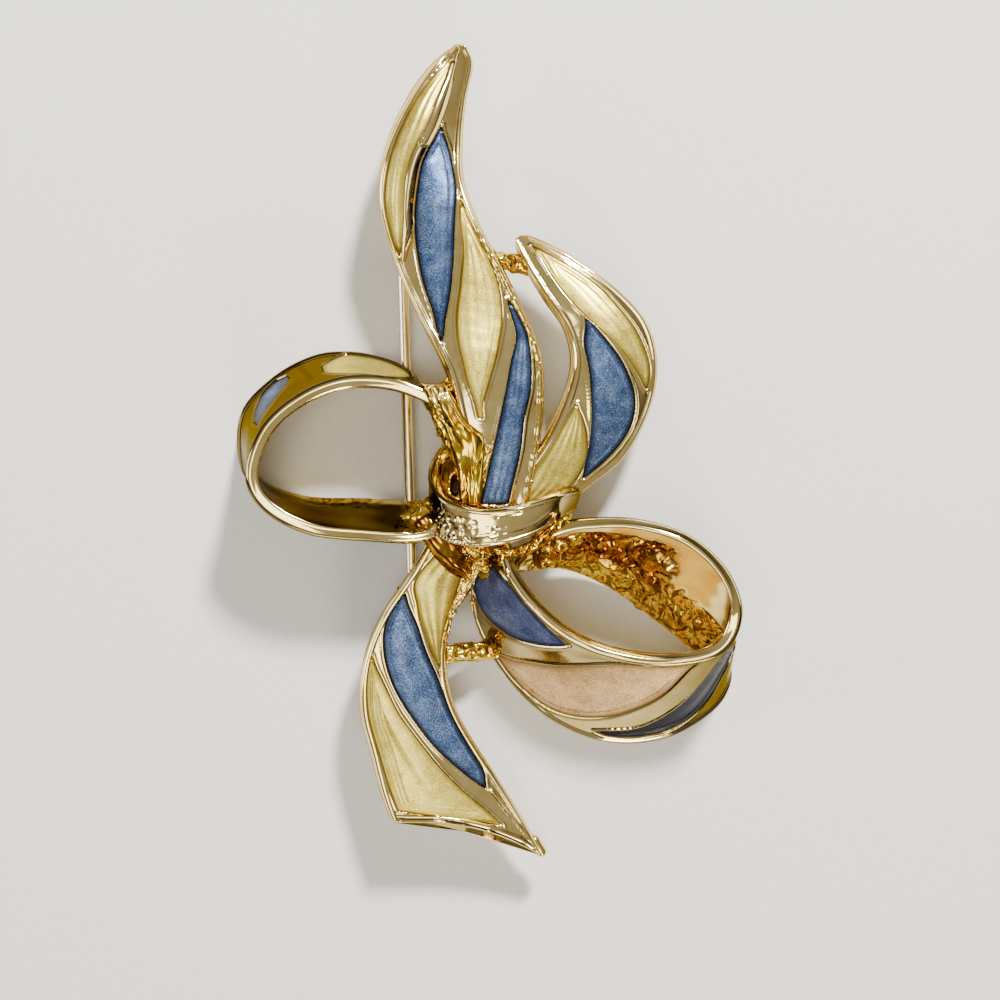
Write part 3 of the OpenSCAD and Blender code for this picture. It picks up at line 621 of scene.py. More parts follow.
def card_paper():
    """Matt white card under the brooch, with the faintest pulp mottle."""
    material, tree, shader, place = new_material("matt_white_card")
    pulp = add_node(
        tree, "ShaderNodeTexNoise",
        {"Vector": place, "Scale": 1 / (0.6 * MM), "Detail": 3.0, "Roughness": 0.5},
    ).outputs["Fac"]
    colour = add_node(tree, "ShaderNodeValToRGB", {"Fac": pulp}, stops=((0.2, "#C6C6C5"), (0.8, "#CECECD")))
    tree.links.new(colour.outputs["Color"], shader.inputs["Base Color"])
    shader.inputs["Roughness"].default_value = 0.9
    fibres = add_node(
        tree, "ShaderNodeBump", {"Height": pulp, "Distance": 0.02 * MM, "Strength": 0.2}
    ).outputs[0]
    tree.links.new(fibres, shader.inputs["Normal"])
    return material


GILT = gilt_metal()
STEEL = pin_metal()
ENAMEL = {
    "blue": enamel_material("slate_blue_pearl_enamel", "#0A1020", "#384B6F", "#8B9DBE", 0.6, 0.34, 0.11),
    "cream": enamel_material("cream_pearl_enamel", "#7A6822", "#CDB954", "#F3EA94", 0.8, 0.34, 0.13),
    # The right loop's blues have less mica and are more violet above; where the wall turns under, the blue
    # is painted nearly black as painted shade
    "loop_blue_end": enamel_material("navy_enamel_painted_shade", "#04060C", "#121A34", "#2C3758", 0.25, 0.36, 0.11),
    "loop_blue": enamel_material("violet_blue_pearl_enamel", "#121830", "#3C4874", "#828DB2", 0.3, 0.4, 0.11),
    "blush": enamel_material("blush_pearl_enamel", "#8A6634", "#DBB27C", "#F9E6C0", 0.75, 0.32, 0.15),
}


# Meshes


def make_piece(name, points_mm, faces, material, body, nodes, values=None):
    """Smooth mesh from points in mm, facing outward, riding on a body in place of CAD nodes."""
    mesh = bpy.data.meshes.new(name)
    mesh.from_pydata([tuple(p) for p in np.asarray(points_mm) * MM], [], faces)
    mesh.validate()
    shape = bmesh.new()
    shape.from_mesh(mesh)
    if shape.calc_volume(signed=True) < 0:
        bmesh.ops.reverse_faces(shape, faces=shape.faces)
        shape.to_mesh(mesh)
    shape.free()
    mesh.materials.append(material)
    for key, amounts in (values or {}).items():
        amounts = np.broadcast_to(np.asarray(amounts, np.float32), len(mesh.vertices))
        mesh.attributes.new(key, "FLOAT", "POINT").data.foreach_set("value", np.ascontiguousarray(amounts))
    mesh.polygons.foreach_set("use_smooth", [True] * len(mesh.polygons))
    piece = bpy.data.objects.new(name, mesh)
    bpy.context.scene.collection.objects.link(piece)
    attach(piece, body)
    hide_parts(*nodes)


def gilt_piece(name, points_mm, faces, **values):
    """Piece of the gilt casting. Values: its grain, hollow, stain and dull, nought where not given."""
    values = {key: values.get(key, 0.0) for key in GILT_VALUES}
    make_piece(name, points_mm, faces, GILT, "bow", ["bow_casting"], values)


def tube_faces(rings, around):
    """Quads of a closed tube of rings, with a fan to an end point after them at either end."""
    at = np.arange(rings * around).reshape(rings, around)
    a, b = at[:-1], at[1:]
    quads = np.stack([a, b, np.roll(b, -1, 1), np.roll(a, -1, 1)], -1).reshape(-1, 4).tolist()
    first, last = rings * around, rings * around + 1
    quads += [[first, at[0, j], at[0, (j + 1) % around]] for j in range(around)]
    quads += [[last, at[-1, (j + 1) % around], at[-1, j]] for j in range(around)]
    return quads


RIM_W, RIM_H = 0.55, 0.2  # raised rim along a ribbon's two edges, mm
RIM_MOST = 0.6  # widest share of half a ribbon that a rim takes
KNOT_RIM_W, KNOT_RIM_H = 0.6, 0.5  # the knot's rims, as shares of the others'
LIP_W, LIP_H = 0.34, 0.1  # raised lip round a cell, mm
CELL_DEPTH = 0.34  # floor of a cell under the enamel, mm
WALL = 0.09  # half the width of a cell wall's slope, mm
EDGE_BULGE = 0.16  # swell of a ribbon's edge beyond its width, mm
BULGE_FULL = 1.5  # half width in mm from which the swell is full
LOOP_GROOVE = 0.45  # share of the swell that the groove along a loop's edge takes away
EDGE_TURNS = np.linspace(0, math.pi, 9)[1:-1]  # turns in radians of the points round an edge
CAP_TURNS = (0.45, 0.9, 1.3)  # turns in radians of the rings that close a ribbon's end
CAP_REACH = 0.22  # how far an end swells out, as a share of the thickness
ENAMEL_DROP = 0.07  # the enamel's face under the metal round it, mm
DOME = 0.07  # swell of the enamel over its middle, mm
FLOOR_GAP = 0.05  # how far the enamel goes under the cell's floor, mm
CELL_STEP = 0.155  # spacing of the enamels' points, mm
STEP = 0.115  # spacing of the ribbons' points, mm
REST = 0.01  # lowest height of the casting over the floor, mm
BRIDGE_RISE = -0.2  # height of the bridges' ends above the ribbons' faces, mm
CORE_VOXEL, BEAD_VOXEL = 0.145, 0.09  # spacing of the points of the rough core and of the beads, mm
WEB_STEPS, WEB_TURNS = 96, 84  # points along a web and round it

# Where a ribbon's casting is left rough. Columns: from and to along, from and to across, on its back, amount
ROUGH = {
    "upper_tail": [(-1, 0.14, -1.2, -0.2, False, 0.9), (0.05, 0.52, 0.8, 1.2, False, 0.55)],
    "right_tail": [(-1, 0.05, -1.2, 1.2, False, 0.5)],
    "left_loop": [
        (-1, 0.14, -1.2, 1.2, False, 0.9),
        (-1, 0.12, -1.2, 1.2, True, 0.9),
        (0.74, 0.86, 0.45, 1.1, True, 0.8),
        (0.9, 1.1, -1.2, 1.2, True, 0.9),
        (0.9, 1.1, -1.2, 1.2, False, 0.8),
    ],
    "right_loop": [
        (0.75, 0.99, -0.72, 1.2, True, 1.0),
        (0.57, 0.78, 0.0, 1.2, True, 1.0),
        (-1, 0.06, -1.2, 1.2, True, 0.7),
    ],
    "lower_tail": [(-1, 0.05, -1.2, 1.2, False, 0.8), (0, 0.42, -1.2, -0.8, False, 0.9)],
    "knot_band": [(0.1, 0.3, 0.3, 1.2, False, 0.8), (-1, 1.1, -1.2, 1.2, True, 0.5)],
}

# Where hammer marks sparkle. Columns as in ROUGH
HAMMERED = {"knot_band": [(0.2, 0.47, -0.5, 0.95, False, 1.0), (0.5, 0.56, -0.1, 0.75, False, 0.8)]}

# Where old polish has browned a ribbon. Columns as in ROUGH
STAINED = {
    "right_loop": [(0.75, 0.99, -0.8, 0.3, True, 1.0), (0.58, 0.8, 0.1, 1.2, True, 0.45)],
    "left_loop": [(0.62, 0.93, -1.0, 0.7, True, 0.4)],
}

# Where painted shade and painted dark reflection darken a ribbon's face or back. Columns as in ROUGH
PAINTED_SHADE_AREAS = {
    "left_loop": [
        (0.5, 0.92, -1.2, 0.75, True, 1.0),
        (0.1, 0.55, -1.2, 1.2, True, 0.45),
        (0.345, 0.405, -0.5, 1.0, False, 0.9),
    ],
    "right_loop": [(0.4, 0.6, 0.35, 1.2, False, 0.85), (0.6, 0.96, 0.3, 1.2, True, 0.35)],
}

# Ridges that run along a ribbon near its root. Columns: from and to along, turns across, height in mm
RIBBED = {"left_loop": (-0.1, 0.13, 11, 0.14), "upper_tail": (-0.1, 0.1, 9, 0.06)}

# Extra ridges and grooves on the ribbons' faces.
# Columns: ribbon, half width and height in mm, line as along and across
RIDGES = [
    ("upper_fold", 0.46, 0.24, [(0.485, 0.84), (0.58, 0.76), (0.68, 0.72), (0.79, 0.84), (0.92, 0.9)]),
    ("lower_tail", 0.26, 0.26, [
        (0.895, -0.77), (0.91, -0.805), (0.93, -0.84), (0.958, -0.89), (0.985, -0.97),
    ]),
    ("lower_tail", 0.28, 0.24, [
        (0.985, 0.97), (0.971, 0.6), (0.962, 0.3), (0.961, 0), (0.966, -0.4), (0.98, -0.8), (0.99, -0.95),
    ]),
    ("knot_band", 0.13, -0.09, [(0.535, -0.6), (0.575, -0.68), (0.62, -0.64)]),
    ("knot_band", 0.2, 0.05, [(0.44, 0.5), (0.54, 0.3), (0.66, 0.3), (0.72, -0.1)]),
    ("upper_tail", 0.34, -0.3, [(0.53, -0.44), (0.6, -0.4), (0.66, -0.27), (0.7, -0.08)]),
]

# Stretch of a ribbon where its second edge is cut back: from and to along, share of the half width kept
CUT_BACK = {"upper_fold": (0.16, 0.487, 0.72)}

# How a ribbon's far end is rounded off. Columns: share of its run at its first edge and at its second, share
# of the half width kept at the very end on either side
TIPS = {
    "upper_tail": (0.02, 0.02, 0.45, 0.45),
    "upper_fold": (0.02, 0.02, 0.45, 0.45),
    "right_tail": (0.035, 0.035, 0.45, 0.45),
    "lower_tail": (0.03, 0.012, 0.93, 0.95),
}

# Painted shade on the cells that face down: share of the distance from the wall that sets the enamel's
# darker edge colour, so that more of the cell takes its deep colour
PAINTED_SHADE_CELLS = {"left_blue": 0.45, "loop_blue_end": 0.28}


def amount_at(table, ribbon, u, v, back):
    """How much a table like ROUGH gives at points of a ribbon's face or back, with soft borders."""
    total = np.zeros(np.broadcast(u, v).shape)
    for u0, u1, v0, v1, on_back, amount in table.get(ribbon, ()):
        if on_back == back:
            along = smooth(u, u0 - 0.02, u0 + 0.03) * (1 - smooth(u, u1 - 0.03, u1 + 0.02))
            across = smooth(v, v0 - 0.1, v0 + 0.1) * (1 - smooth(v, v1 - 0.1, v1 + 0.1))
            total = np.maximum(total, amount * along * across)
    return total


def round_bead(away, width):
    """Half-round section from 0 to 1 of a bead that lies between 0 and its width from an edge, in mm."""
    return np.sqrt(np.clip(1 - ((away - width / 2) / (width / 2)) ** 2, 0, 1))


def face_relief(ribbon, u, v):
    """Height in mm of a ribbon's face: rims along its edges, lips round its cells and the cells' floors."""
    half = half_width(ribbon, u)
    edge = (1 - np.abs(v)) * half
    share_w, share_h = (KNOT_RIM_W, KNOT_RIM_H) if ribbon == "knot_band" else (1, 1)
    rim_w = np.minimum(RIM_W, RIM_MOST * half) * share_w
    height = np.where(edge < rim_w, RIM_H * share_h * round_bead(edge, rim_w), 0)
    points = flat(ribbon, u.ravel(), v.ravel())
    sink = np.zeros_like(height)
    for cell, row in CELLS.items():
        if row[0] == ribbon:
            out = outside_by(points, cell_outline(cell)).reshape(u.shape)
            lip = LIP_H * round_bead(out, LIP_W)
            height = np.maximum(height, np.where((out > 0) & (out < LIP_W), lip, 0))
            sink = np.maximum(sink, 1 - smooth(out, -WALL, WALL))
    height = height * (1 - sink) - CELL_DEPTH * sink
    for on, half_w, rise, line in RIDGES:
        if on == ribbon:
            line = np.array(line)
            away, along = near_line(points, flat(ribbon, line[:, 0], line[:, 1]))
            fade = smooth(np.minimum(along, 1 - along), -0.02, 0.1)
            ridge = rise * (np.sqrt(np.clip(1 - (away / half_w) ** 2, 0, 1)) * fade).reshape(u.shape)
            raised = np.maximum(height, ridge) if rise > 0 else height + ridge
            height = np.where(away.reshape(u.shape) < half_w, raised, height)
    return height


def kept_share(ribbon, u, v):
    """Share of its half width that a ribbon keeps where its second edge is cut back."""
    if ribbon not in CUT_BACK:
        return np.ones(np.broadcast(u, v).shape)
    start, stop, keep = CUT_BACK[ribbon]
    cut = smooth(u, start - 0.08, start + 0.04) * (1 - smooth(u, stop - 0.006, stop + 0.006))
    return np.where(np.asarray(v) > 0, 1 - (1 - keep) * cut, 1)


def tip_share(ribbon, u, v):
    """Share of its half width that a ribbon keeps where its far end is rounded off or its edge cut back."""
    if ribbon not in TIPS:
        return np.ones(np.broadcast(u, v).shape)
    first = np.asarray(v) < 0
    reach, keep = np.where(first, *TIPS[ribbon][:2]), np.where(first, *TIPS[ribbon][2:])
    into = np.clip((u - 1 + reach) / reach, 0, 1)
    return (keep + (1 - keep) * np.sqrt(1 - into**2)) * kept_share(ribbon, u, v)


def slope_of(grid):
    """How steep a grid of points stands, in degrees."""
    normal = np.cross(np.gradient(grid, axis=0), np.gradient(grid, axis=1))
    level = np.abs(normal[..., 2]) / np.maximum(np.linalg.norm(normal, axis=-1), 1e-9)
    return np.degrees(np.arccos(np.clip(level, 0, 1)))


def ribbon_grid(ribbon, us, vs):
    """Along and across at each point of a ribbon's face or back, with its far end rounded and curved."""
    u, v = np.meshgrid(us, vs, indexing="ij")
    v = v * tip_share(ribbon, u, v)
    return along_at(ribbon, u, v), v


def ribbon_face(ribbon, u, v, relief, rough):
    """Points of a ribbon's face, with its relief, swell, rough patches, hammer marks and ridges."""
    place = point_at(ribbon, u, v)
    swell = waves(place, 3.5, 5) * 0.02
    uneven = (crumple(place, 1.3, 8) * 0.11 + crumple(place, 0.55, 18) * 0.045) * rough
    if ribbon == "knot_band":
        marks = 0.11 * amount_at(HAMMERED, ribbon, u, v, False) * np.abs(waves(place, 0.85, 33, 9))
        uneven += 0.14 * (1 - v**2) + waves(place, 3.4, 31) * 0.03 - marks
    if ribbon in RIBBED:
        start, stop, ridges, depth = RIBBED[ribbon]
        share = smooth(u, start - 0.03, start + 0.03) * (1 - smooth(u, stop - 0.05, stop + 0.05))
        uneven += depth * np.sin(ridges * v + 3 * u) * share
    return point_at(ribbon, u, v, relief + swell + uneven)


def ribbon_back(ribbon, u, v, place, rough):
    """Points of a ribbon's back, gently uneven and crumpled where it is rough."""
    height = -RIBBONS[ribbon][2] + waves(place, 3.0, 6) * 0.03
    height += (crumple(place, 2.1, 9) * 0.3 + crumple(place, 0.8, 19) * 0.13) * rough
    return point_at(ribbon, u, v, height)


def ribbon_edges(ribbon, us):
    """Points round a ribbon's second and first edge, swollen, with a groove along the edges of a loop."""
    thick = RIBBONS[ribbon][2]
    half = half_width(ribbon, us)[:, None]
    groove = (LOOP_GROOVE if "loop" in ribbon else 0) * np.exp(-((EDGE_TURNS - 1.6) / 0.25) ** 2)
    bulge = EDGE_BULGE * np.minimum(1, half / BULGE_FULL) * np.sin(EDGE_TURNS) * (1 - groove)
    u = np.repeat(us[:, None], len(EDGE_TURNS), 1)
    edges = []
    for side, turns, swell in ((1, EDGE_TURNS, bulge), (-1, EDGE_TURNS[::-1], bulge[:, ::-1])):
        v = side * (tip_share(ribbon, u, side) + swell / half)
        edges.append(point_at(ribbon, u, v, -thick / 2 + thick / 2 * np.cos(turns)[None, :] * 0.94))
    return edges


def ribbon_cap(ribbon, ring, end, way, v):
    """Rings that draw a ribbon's end in to the middle of its thickness, from its last ring outward."""
    thick = RIBBONS[ribbon][2]
    u = np.full_like(v, end)
    v = v * tip_share(ribbon, u, v)
    spine = point_at(ribbon, along_at(ribbon, u, v), v, -thick / 2)
    run = run_at(ribbon, np.array(end)) * way
    return [
        spine + (ring - spine) * math.cos(turn) + run * thick * CAP_REACH * math.sin(turn)
        for turn in CAP_TURNS
    ]


def ribbon_values(ribbon, face, back, relief, rough, place, back_rough):
    """Values of a ribbon's face and back, as in GILT_VALUES. Face, back: along and across at each point."""
    steep = slope_of(point_at(ribbon, *face))
    # Painted dark reflection on steep faces, and painted shade in deep grooves and cell floors
    slope_and_recess_shade = np.maximum(0.85 * smooth(steep, 32, 62), 0.75 * smooth(-relief, 0.12, 0.28))
    patches = np.clip(1.1 + 0.7 * waves(place, 2.4, 41, 9), 0, 1)
    # Streaks along the backs vary the painted shade there
    drawn = waves(np.stack([back[0] * 9, back[1], 0 * back[1]], -1), 1.1, 43, 9)
    streaks = np.clip(0.85 + 0.3 * drawn, 0, 1)
    return {
        "grain": (rough, back_rough),
        "hollow": (np.maximum(smooth(-relief, 0.02, 0.3), 0.8 * rough), 0.9 * back_rough),
        "stain": (0 * rough, amount_at(STAINED, ribbon, *back, True) * patches),
        "dull": (
            np.maximum(slope_and_recess_shade, amount_at(PAINTED_SHADE_AREAS, ribbon, *face, False)),
            amount_at(PAINTED_SHADE_AREAS, ribbon, *back, True) * streaks,
        ),
    }


def ribbon_piece(ribbon):
    """Gilt casting of one ribbon as a closed shell, with its rims, cells and rounded edges."""
    columns = int(RIBBONS[ribbon][1] / STEP)
    back_columns = max(12, columns // (2 if "loop" in ribbon else 4))
    us = np.linspace(0, 1, int(run_length(ribbon, 1.0) / STEP))
    vs, back_vs = np.linspace(-1, 1, columns), np.linspace(1, -1, back_columns)
    face, back = ribbon_grid(ribbon, us, vs), ribbon_grid(ribbon, us, back_vs)
    relief, rough = face_relief(ribbon, *face), amount_at(ROUGH, ribbon, *face, False)
    back_rough = amount_at(ROUGH, ribbon, *back, True)
    back_place = point_at(ribbon, *back, -RIBBONS[ribbon][2])
    second, first = ribbon_edges(ribbon, us)
    shell = np.concatenate([
        ribbon_face(ribbon, *face, relief, rough), second,
        ribbon_back(ribbon, *back, back_place, back_rough), first,
    ], 1)
    edge_v = np.ones(len(EDGE_TURNS))
    shell_v = np.concatenate([vs, edge_v, back_vs, -edge_v])
    start = ribbon_cap(ribbon, shell[0], 0.0, -1, shell_v)[::-1]
    end = ribbon_cap(ribbon, shell[-1], 1.0, 1, shell_v)
    rings = np.stack([*start, *shell, *end])
    rings[..., 2] = np.maximum(rings[..., 2], REST)
    points = np.vstack([rings.reshape(-1, 3), rings[0].mean(0), rings[-1].mean(0)])
    values = ribbon_values(ribbon, face, back, relief, rough, back_place, back_rough)
    bare = np.zeros(second.shape[:2])
    caps = len(CAP_TURNS)
    for key, (on_face, on_back) in values.items():
        ring = np.concatenate([on_face, bare, on_back, bare], 1)
        values[key] = np.append(np.pad(ring, ((caps, caps), (0, 0)), "edge"), [0, 0])
    gilt_piece("ribbon_" + ribbon, points, tube_faces(*rings.shape[:2]), **values)


def enamel_height(cell, u, v, inside, s, f):
    """Height in mm of a cell's enamel: its dome, the creep up the walls, pleats and contour steps."""
    ribbon, _, _, pleats, pleat_h, steps, side = CELLS[cell]
    height = -ENAMEL_DROP + 0.05 * np.exp(-inside / 0.15) + DOME * (1 - np.exp(-inside / 0.9))
    if pleats:
        wobble = 0.35 * np.sin(s * 5 + pleats)[:, None]
        fade = smooth(inside, 0.1, 0.5) * (0.5 + 0.5 * np.cos(s * 3.1 * 1.3)[:, None] ** 2)
        height += pleat_h * np.sin(2 * math.pi * (pleats * f[None, :] + wobble)) * fade
    share = 1
    if side:
        share = np.maximum(smooth(side * (f[None, :] - 0.5), -0.12, 0.12), smooth(s, 0.8, 0.9)[:, None])
    for at in steps:
        height -= 0.06 * smooth(inside, at - 0.1, at + 0.1) * share
        height += 0.07 * np.exp(-(((inside - at) / 0.09) ** 2)) * share
    return height + waves(point_at(ribbon, u, v), 1.6, 3) * 0.012


def enamel_piece(cell):
    """Enamel in a cell as a closed solid down to just under the cell's floor."""
    ribbon, _, finish = CELLS[cell][:3]
    outline = cell_outline(cell)
    one_side, other_side = outline[1 : OUTLINE_STEPS + 1], outline[OUTLINE_STEPS + 2 :][::-1]
    length = np.linalg.norm(np.diff(one_side, axis=0), axis=1).sum()
    width = np.linalg.norm(one_side - other_side, axis=1).max()
    rows, columns = max(24, int(length / CELL_STEP)), max(8, int(width / CELL_STEP))
    s, f = np.linspace(0, 1, rows), np.linspace(0, 1, columns)
    left, right = cell_sides(cell, s)
    uv = left[:, None] + (right - left)[:, None] * f[None, :, None]
    u, v = uv[..., 0], uv[..., 1]
    inside = -outside_by(flat(ribbon, u.ravel(), v.ravel()), outline).reshape(u.shape)
    inside = np.maximum(inside, 0)
    top = point_at(ribbon, u, v, enamel_height(cell, u, v, inside, s, f))
    floor = point_at(ribbon, u, v, -CELL_DEPTH - FLOOR_GAP)
    ring = np.concatenate([top, floor[:, ::-1]], 1)
    tips = [point_at(ribbon, *tip, -ENAMEL_DROP - 0.03) for tip in cell_tips(cell)]
    points = np.vstack([ring.reshape(-1, 3), *tips])
    # Cells that face down take more of the deep edge colour here, a painted shade
    edge = np.concatenate([inside, inside[:, ::-1]], 1).ravel() * PAINTED_SHADE_CELLS.get(cell, 1)
    make_piece(
        "cell_" + cell, points, tube_faces(rows, 2 * columns), ENAMEL.get(cell, ENAMEL[finish]), "bow",
        ["enamel_" + cell], {"edge": np.append(edge, [0, 0])},
    )


def smooth_balls(name, parts, voxel_mm):
    """Hulls of pairs of balls joined into one skin: its points in mm, their normals and its faces.
    Parts: centre, radius, centre, radius in mm."""
    shape = bmesh.new()
    for a, ra, b, rb in parts:
        part = bmesh.new()
        for centre, radius in ((a, ra), (b, rb)):
            bmesh.ops.create_icosphere(
                part, subdivisions=3, radius=radius * MM, matrix=Matrix.Translation(Vector(centre) * MM)
            )
        hull = bmesh.ops.convex_hull(part, input=part.verts)
        loose = [g for g in hull["geom_interior"] + hull["geom_unused"] if isinstance(g, bmesh.types.BMVert)]
        bmesh.ops.delete(part, geom=list(set(loose)), context="VERTS")
        scratch = bpy.data.meshes.new("scratch")
        part.to_mesh(scratch)
        part.free()
        shape.from_mesh(scratch)
        bpy.data.meshes.remove(scratch)
    mesh = bpy.data.meshes.new(name)
    shape.to_mesh(mesh)
    shape.free()
    piece = bpy.data.objects.new(name, mesh)
    bpy.context.scene.collection.objects.link(piece)
    skin = piece.modifiers.new("skin", "REMESH")
    skin.mode, skin.voxel_size = "VOXEL", voxel_mm * MM
    soften = piece.modifiers.new("soften", "SMOOTH")
    soften.factor, soften.iterations = 0.5, 6
    evaluated = piece.evaluated_get(bpy.context.evaluated_depsgraph_get())
    done = bpy.data.meshes.new_from_object(evaluated)
    bpy.data.objects.remove(piece)
    bpy.data.meshes.remove(mesh)
    points = np.array([vertex.co for vertex in done.vertices]) / MM
    normals = np.array([vertex.normal for vertex in done.vertices])
    faces = [list(face.vertices) for face in done.polygons]
    bpy.data.meshes.remove(done)
    return points, normals, faces


# Stubs and drips of cast metal joined to the core.
# Columns: points across, along and up the bow in mm, radius at the first and the last point in mm
DRIPS = [
    ([(-0.6, -8.8, 7.6), (0.1, -10.6, 7.2)], 0.5, 0.4),
    ([(1.5, -8.9, 8.3), (1.6, -10.1, 7.6)], 0.36, 0.42),
    ([(-7.4, -6.2, 5.9), (-5.3, -6.0, 6.6)], 0.5, 0.6),
]
BEAD_AT_TIP = ((4.55, -35.75, 3.4), 0.55, (5.2, -36.75, 3.4), 0.5)  # rounds off the lower tail's point

# Rows of beads that ran along a ribbon's edge.
# Columns: ribbon, from and to along, across, number, radius in mm
BEAD_ROWS = [
    ("lower_tail", 0.1, 0.36, -0.97, 22, 0.24),
    ("right_loop", 0.01, 0.1, 0.95, 12, 0.22),
    ("right_loop", 0.0, 0.17, -0.98, 16, 0.2),
    ("upper_tail", 0.06, 0.3, 0.96, 22, 0.2),
]


def beads():
    """Beads of each row as balls, jittered along, across and up."""
    rng = np.random.default_rng(91)
    parts = []
    for ribbon, first, last, across, number, radius in BEAD_ROWS:
        for u in np.linspace(first, last, number):
            jitter = rng.uniform(-1, 1, 3)
            place = point_at(ribbon, u, across, 0.05) + jitter * radius * 0.7
            size = radius * rng.uniform(0.65, 1.15)
            parts.append((place, size, place + [0, 0, -size], size))
    return parts


def cast_core():
    """Rough cast metal that joins the ribbons behind the knot, and the small bars between the tails."""
    parts = []
    for line, first, last in DRIPS:
        run = spline(line, np.linspace(0, 1, 3 * len(line)))
        thick = np.linspace(first, last, len(run))
        parts += [(run[k], thick[k], run[k + 1], thick[k + 1]) for k in range(len(run) - 1)]
    for a, ua, va, b, ub, vb, radius in BRIDGES:
        ends = [
            point_at(on, u, v, min(BRIDGE_RISE - radius, -RIBBONS[on][2] / 2))
            for on, u, v in ((a, ua, va), (b, ub, vb))
        ]
        parts.append((ends[0], radius * 0.97, ends[1], radius * 0.97))
    points, normals, faces = smooth_balls("cast_core", parts, CORE_VOXEL)
    points += normals * (crumple(points, 1.7, 21) * 0.2 + crumple(points, 0.75, 22) * 0.08)[:, None]
    points[:, 2] = np.maximum(points[:, 2], REST)
    stain = 0.75 * smooth(waves(points, 3.2, 51), 0.3, 0.8)
    gilt_piece("cast_core", points, faces, grain=0.8, hollow=0.9, stain=stain)
    points, _, faces = smooth_balls("edge_beads", beads() + [BEAD_AT_TIP], BEAD_VOXEL)
    gilt_piece("edge_beads", points, faces, grain=0.15, hollow=0.25)


def web(left, right, thick, crown, relief):
    """Closed sheet of cast metal between two lines of points in mm, crowned, with a relief over its face:
    its points, its faces, and the share along it at each point."""
    along = np.linspace(0, 1, WEB_STEPS)
    turn = np.linspace(0, 2 * math.pi, WEB_TURNS, endpoint=False)
    share = (1 - np.cos(turn)) / 2  # once across the face and once back
    s, across = np.meshgrid(along, share, indexing="ij")
    a, b = spline(left, along)[:, None], spline(right, along)[:, None]
    points = a + (b - a) * across[..., None]
    over = np.sin(turn) > 0
    lift = thick / 2 * np.sqrt(np.clip(1 - (2 * across - 1) ** 4, 0, 1)) * np.where(over, 1, -1)
    ends = np.sqrt(np.clip(1 - (2 * s - 1) ** 16, 0.02, 1))
    points[..., 2] += lift * ends + crown * np.sin(math.pi * across)
    points[..., 2] += relief(points, s, across) * over * np.sqrt(np.clip(np.sin(turn), 0, 1)) * ends
    every = np.vstack([points.reshape(-1, 3), points[0].mean(0), points[-1].mean(0)])
    return every, tube_faces(WEB_STEPS, WEB_TURNS), np.append(s, [0.5, 0.5])


# Edges of the webs of cast metal round the knot. Columns: across, along and up the bow in mm
ROOT_LEFT = [
    (-5.8, 6.03, 8.4), (-5.07, 4.48, 8.8), (-4.25, 2.95, 9.0), (-3.36, 1.25, 9.1),
    (-2.91, -0.45, 9.1), (-2.37, -2.25, 9.1), (-2.28, -3.77, 9.1), (-2.28, -5.11, 9.0),
]
ROOT_RIGHT = [
    (-3.45, 5.91, 8.9), (-2.64, 4.47, 9.2), (-1.56, 2.59, 9.3), (-0.22, 1.42, 9.2),
    (0.05, 0.26, 9.2), (-0.13, -1.8, 9.3), (-0.13, -3.59, 9.3), (-0.31, -5.56, 9.2),
]
RING_OUTER = [
    (-2.9, 0.72, 4.6), (-3.52, -0.12, 5.6), (-3.95, -1.23, 6.6),
    (-4.11, -2.32, 7.4), (-3.92, -3.41, 8.0), (-3.1, -4.49, 8.6),
]
RING_INNER = [
    (-2.59, 0.95, 6.6), (-2.22, -0.15, 7.4), (-1.94, -1.24, 7.9),
    (-1.76, -2.51, 8.2), (-1.75, -3.59, 8.4), (-1.48, -4.93, 8.7),
]
STRAP_UPPER = [
    (-5.1, -5.57, 7.6), (-3.74, -7.19, 7.9), (-2.57, -8.53, 8.0), (-1.67, -9.71, 7.9), (-1.22, -10.8, 7.6),
]
STRAP_LOWER = [
    (-6.58, -6.66, 6.6), (-5.29, -8.55, 7.2), (-4.38, -9.81, 7.4), (-3.12, -11.07, 7.4), (-1.68, -11.71, 7.2),
]
SPILL_LEFT = [(-2.92, -8.17, 8.6), (-2.02, -8.8, 8.4), (-1.31, -9.52, 8.1), (-0.59, -10.07, 7.8)]
SPILL_RIGHT = [(-2.02, -7.62, 8.8), (-0.94, -8.16, 8.8), (0.05, -8.79, 8.6), (0.58, -9.7, 8.2)]
ROPE_UPPER = [
    (0.67, -8.62, 8.4), (2.29, -8.8, 8.4), (4.08, -8.17, 8.6), (5.7, -6.91, 8.8), (7.32, -5.74, 8.6),
]
ROPE_LOWER = [
    (1.03, -9.53, 7.8), (2.83, -9.71, 7.8), (4.81, -9.07, 8.0), (6.43, -7.72, 8.2), (7.69, -6.55, 8.2),
]
BEAD_LEFT = [
    (-0.77, -9.27, 7.4), (-1.23, -10.45, 7.0), (-1.96, -11.91, 6.6),
    (-2.69, -13.28, 6.3), (-3.14, -14.28, 6.1), (-3.42, -15.11, 6.0),
]
BEAD_RIGHT = [
    (0.4, -9.63, 7.4), (-0.23, -10.72, 7.0), (-0.96, -12.0, 6.6),
    (-1.69, -13.28, 6.3), (-2.51, -14.38, 6.1), (-3.15, -15.29, 6.0),
]
PIT = np.array([-2.66, -3.14])  # hole between the ring and the root, across and along the bow in mm


def folded(points, s, across):
    """Lengthwise folds of the left loop's root, melting into soft lumps towards the knot."""
    melt = smooth(s, 0.25, 0.5)
    folds = np.abs(np.sin(across * 8 + 1.0 * np.sin(s * 5) + 2 * s)) * 0.4 * (1 - 0.65 * melt)
    drawn = points * np.array([1, 0.4, 1])
    return folds + crumple(drawn, 1.5, 61) * (0.1 + 0.1 * melt) + crumple(drawn, 0.7, 62) * 0.04


def dished(points, s, across):
    """Soft fill of the ring with a deep hole."""
    away = (points[..., :2] - PIT) / np.array([0.34, 0.75])
    return crumple(points, 2.0, 63) * 0.16 - 2.2 * np.exp(-(away**2).sum(-1) ** 2)


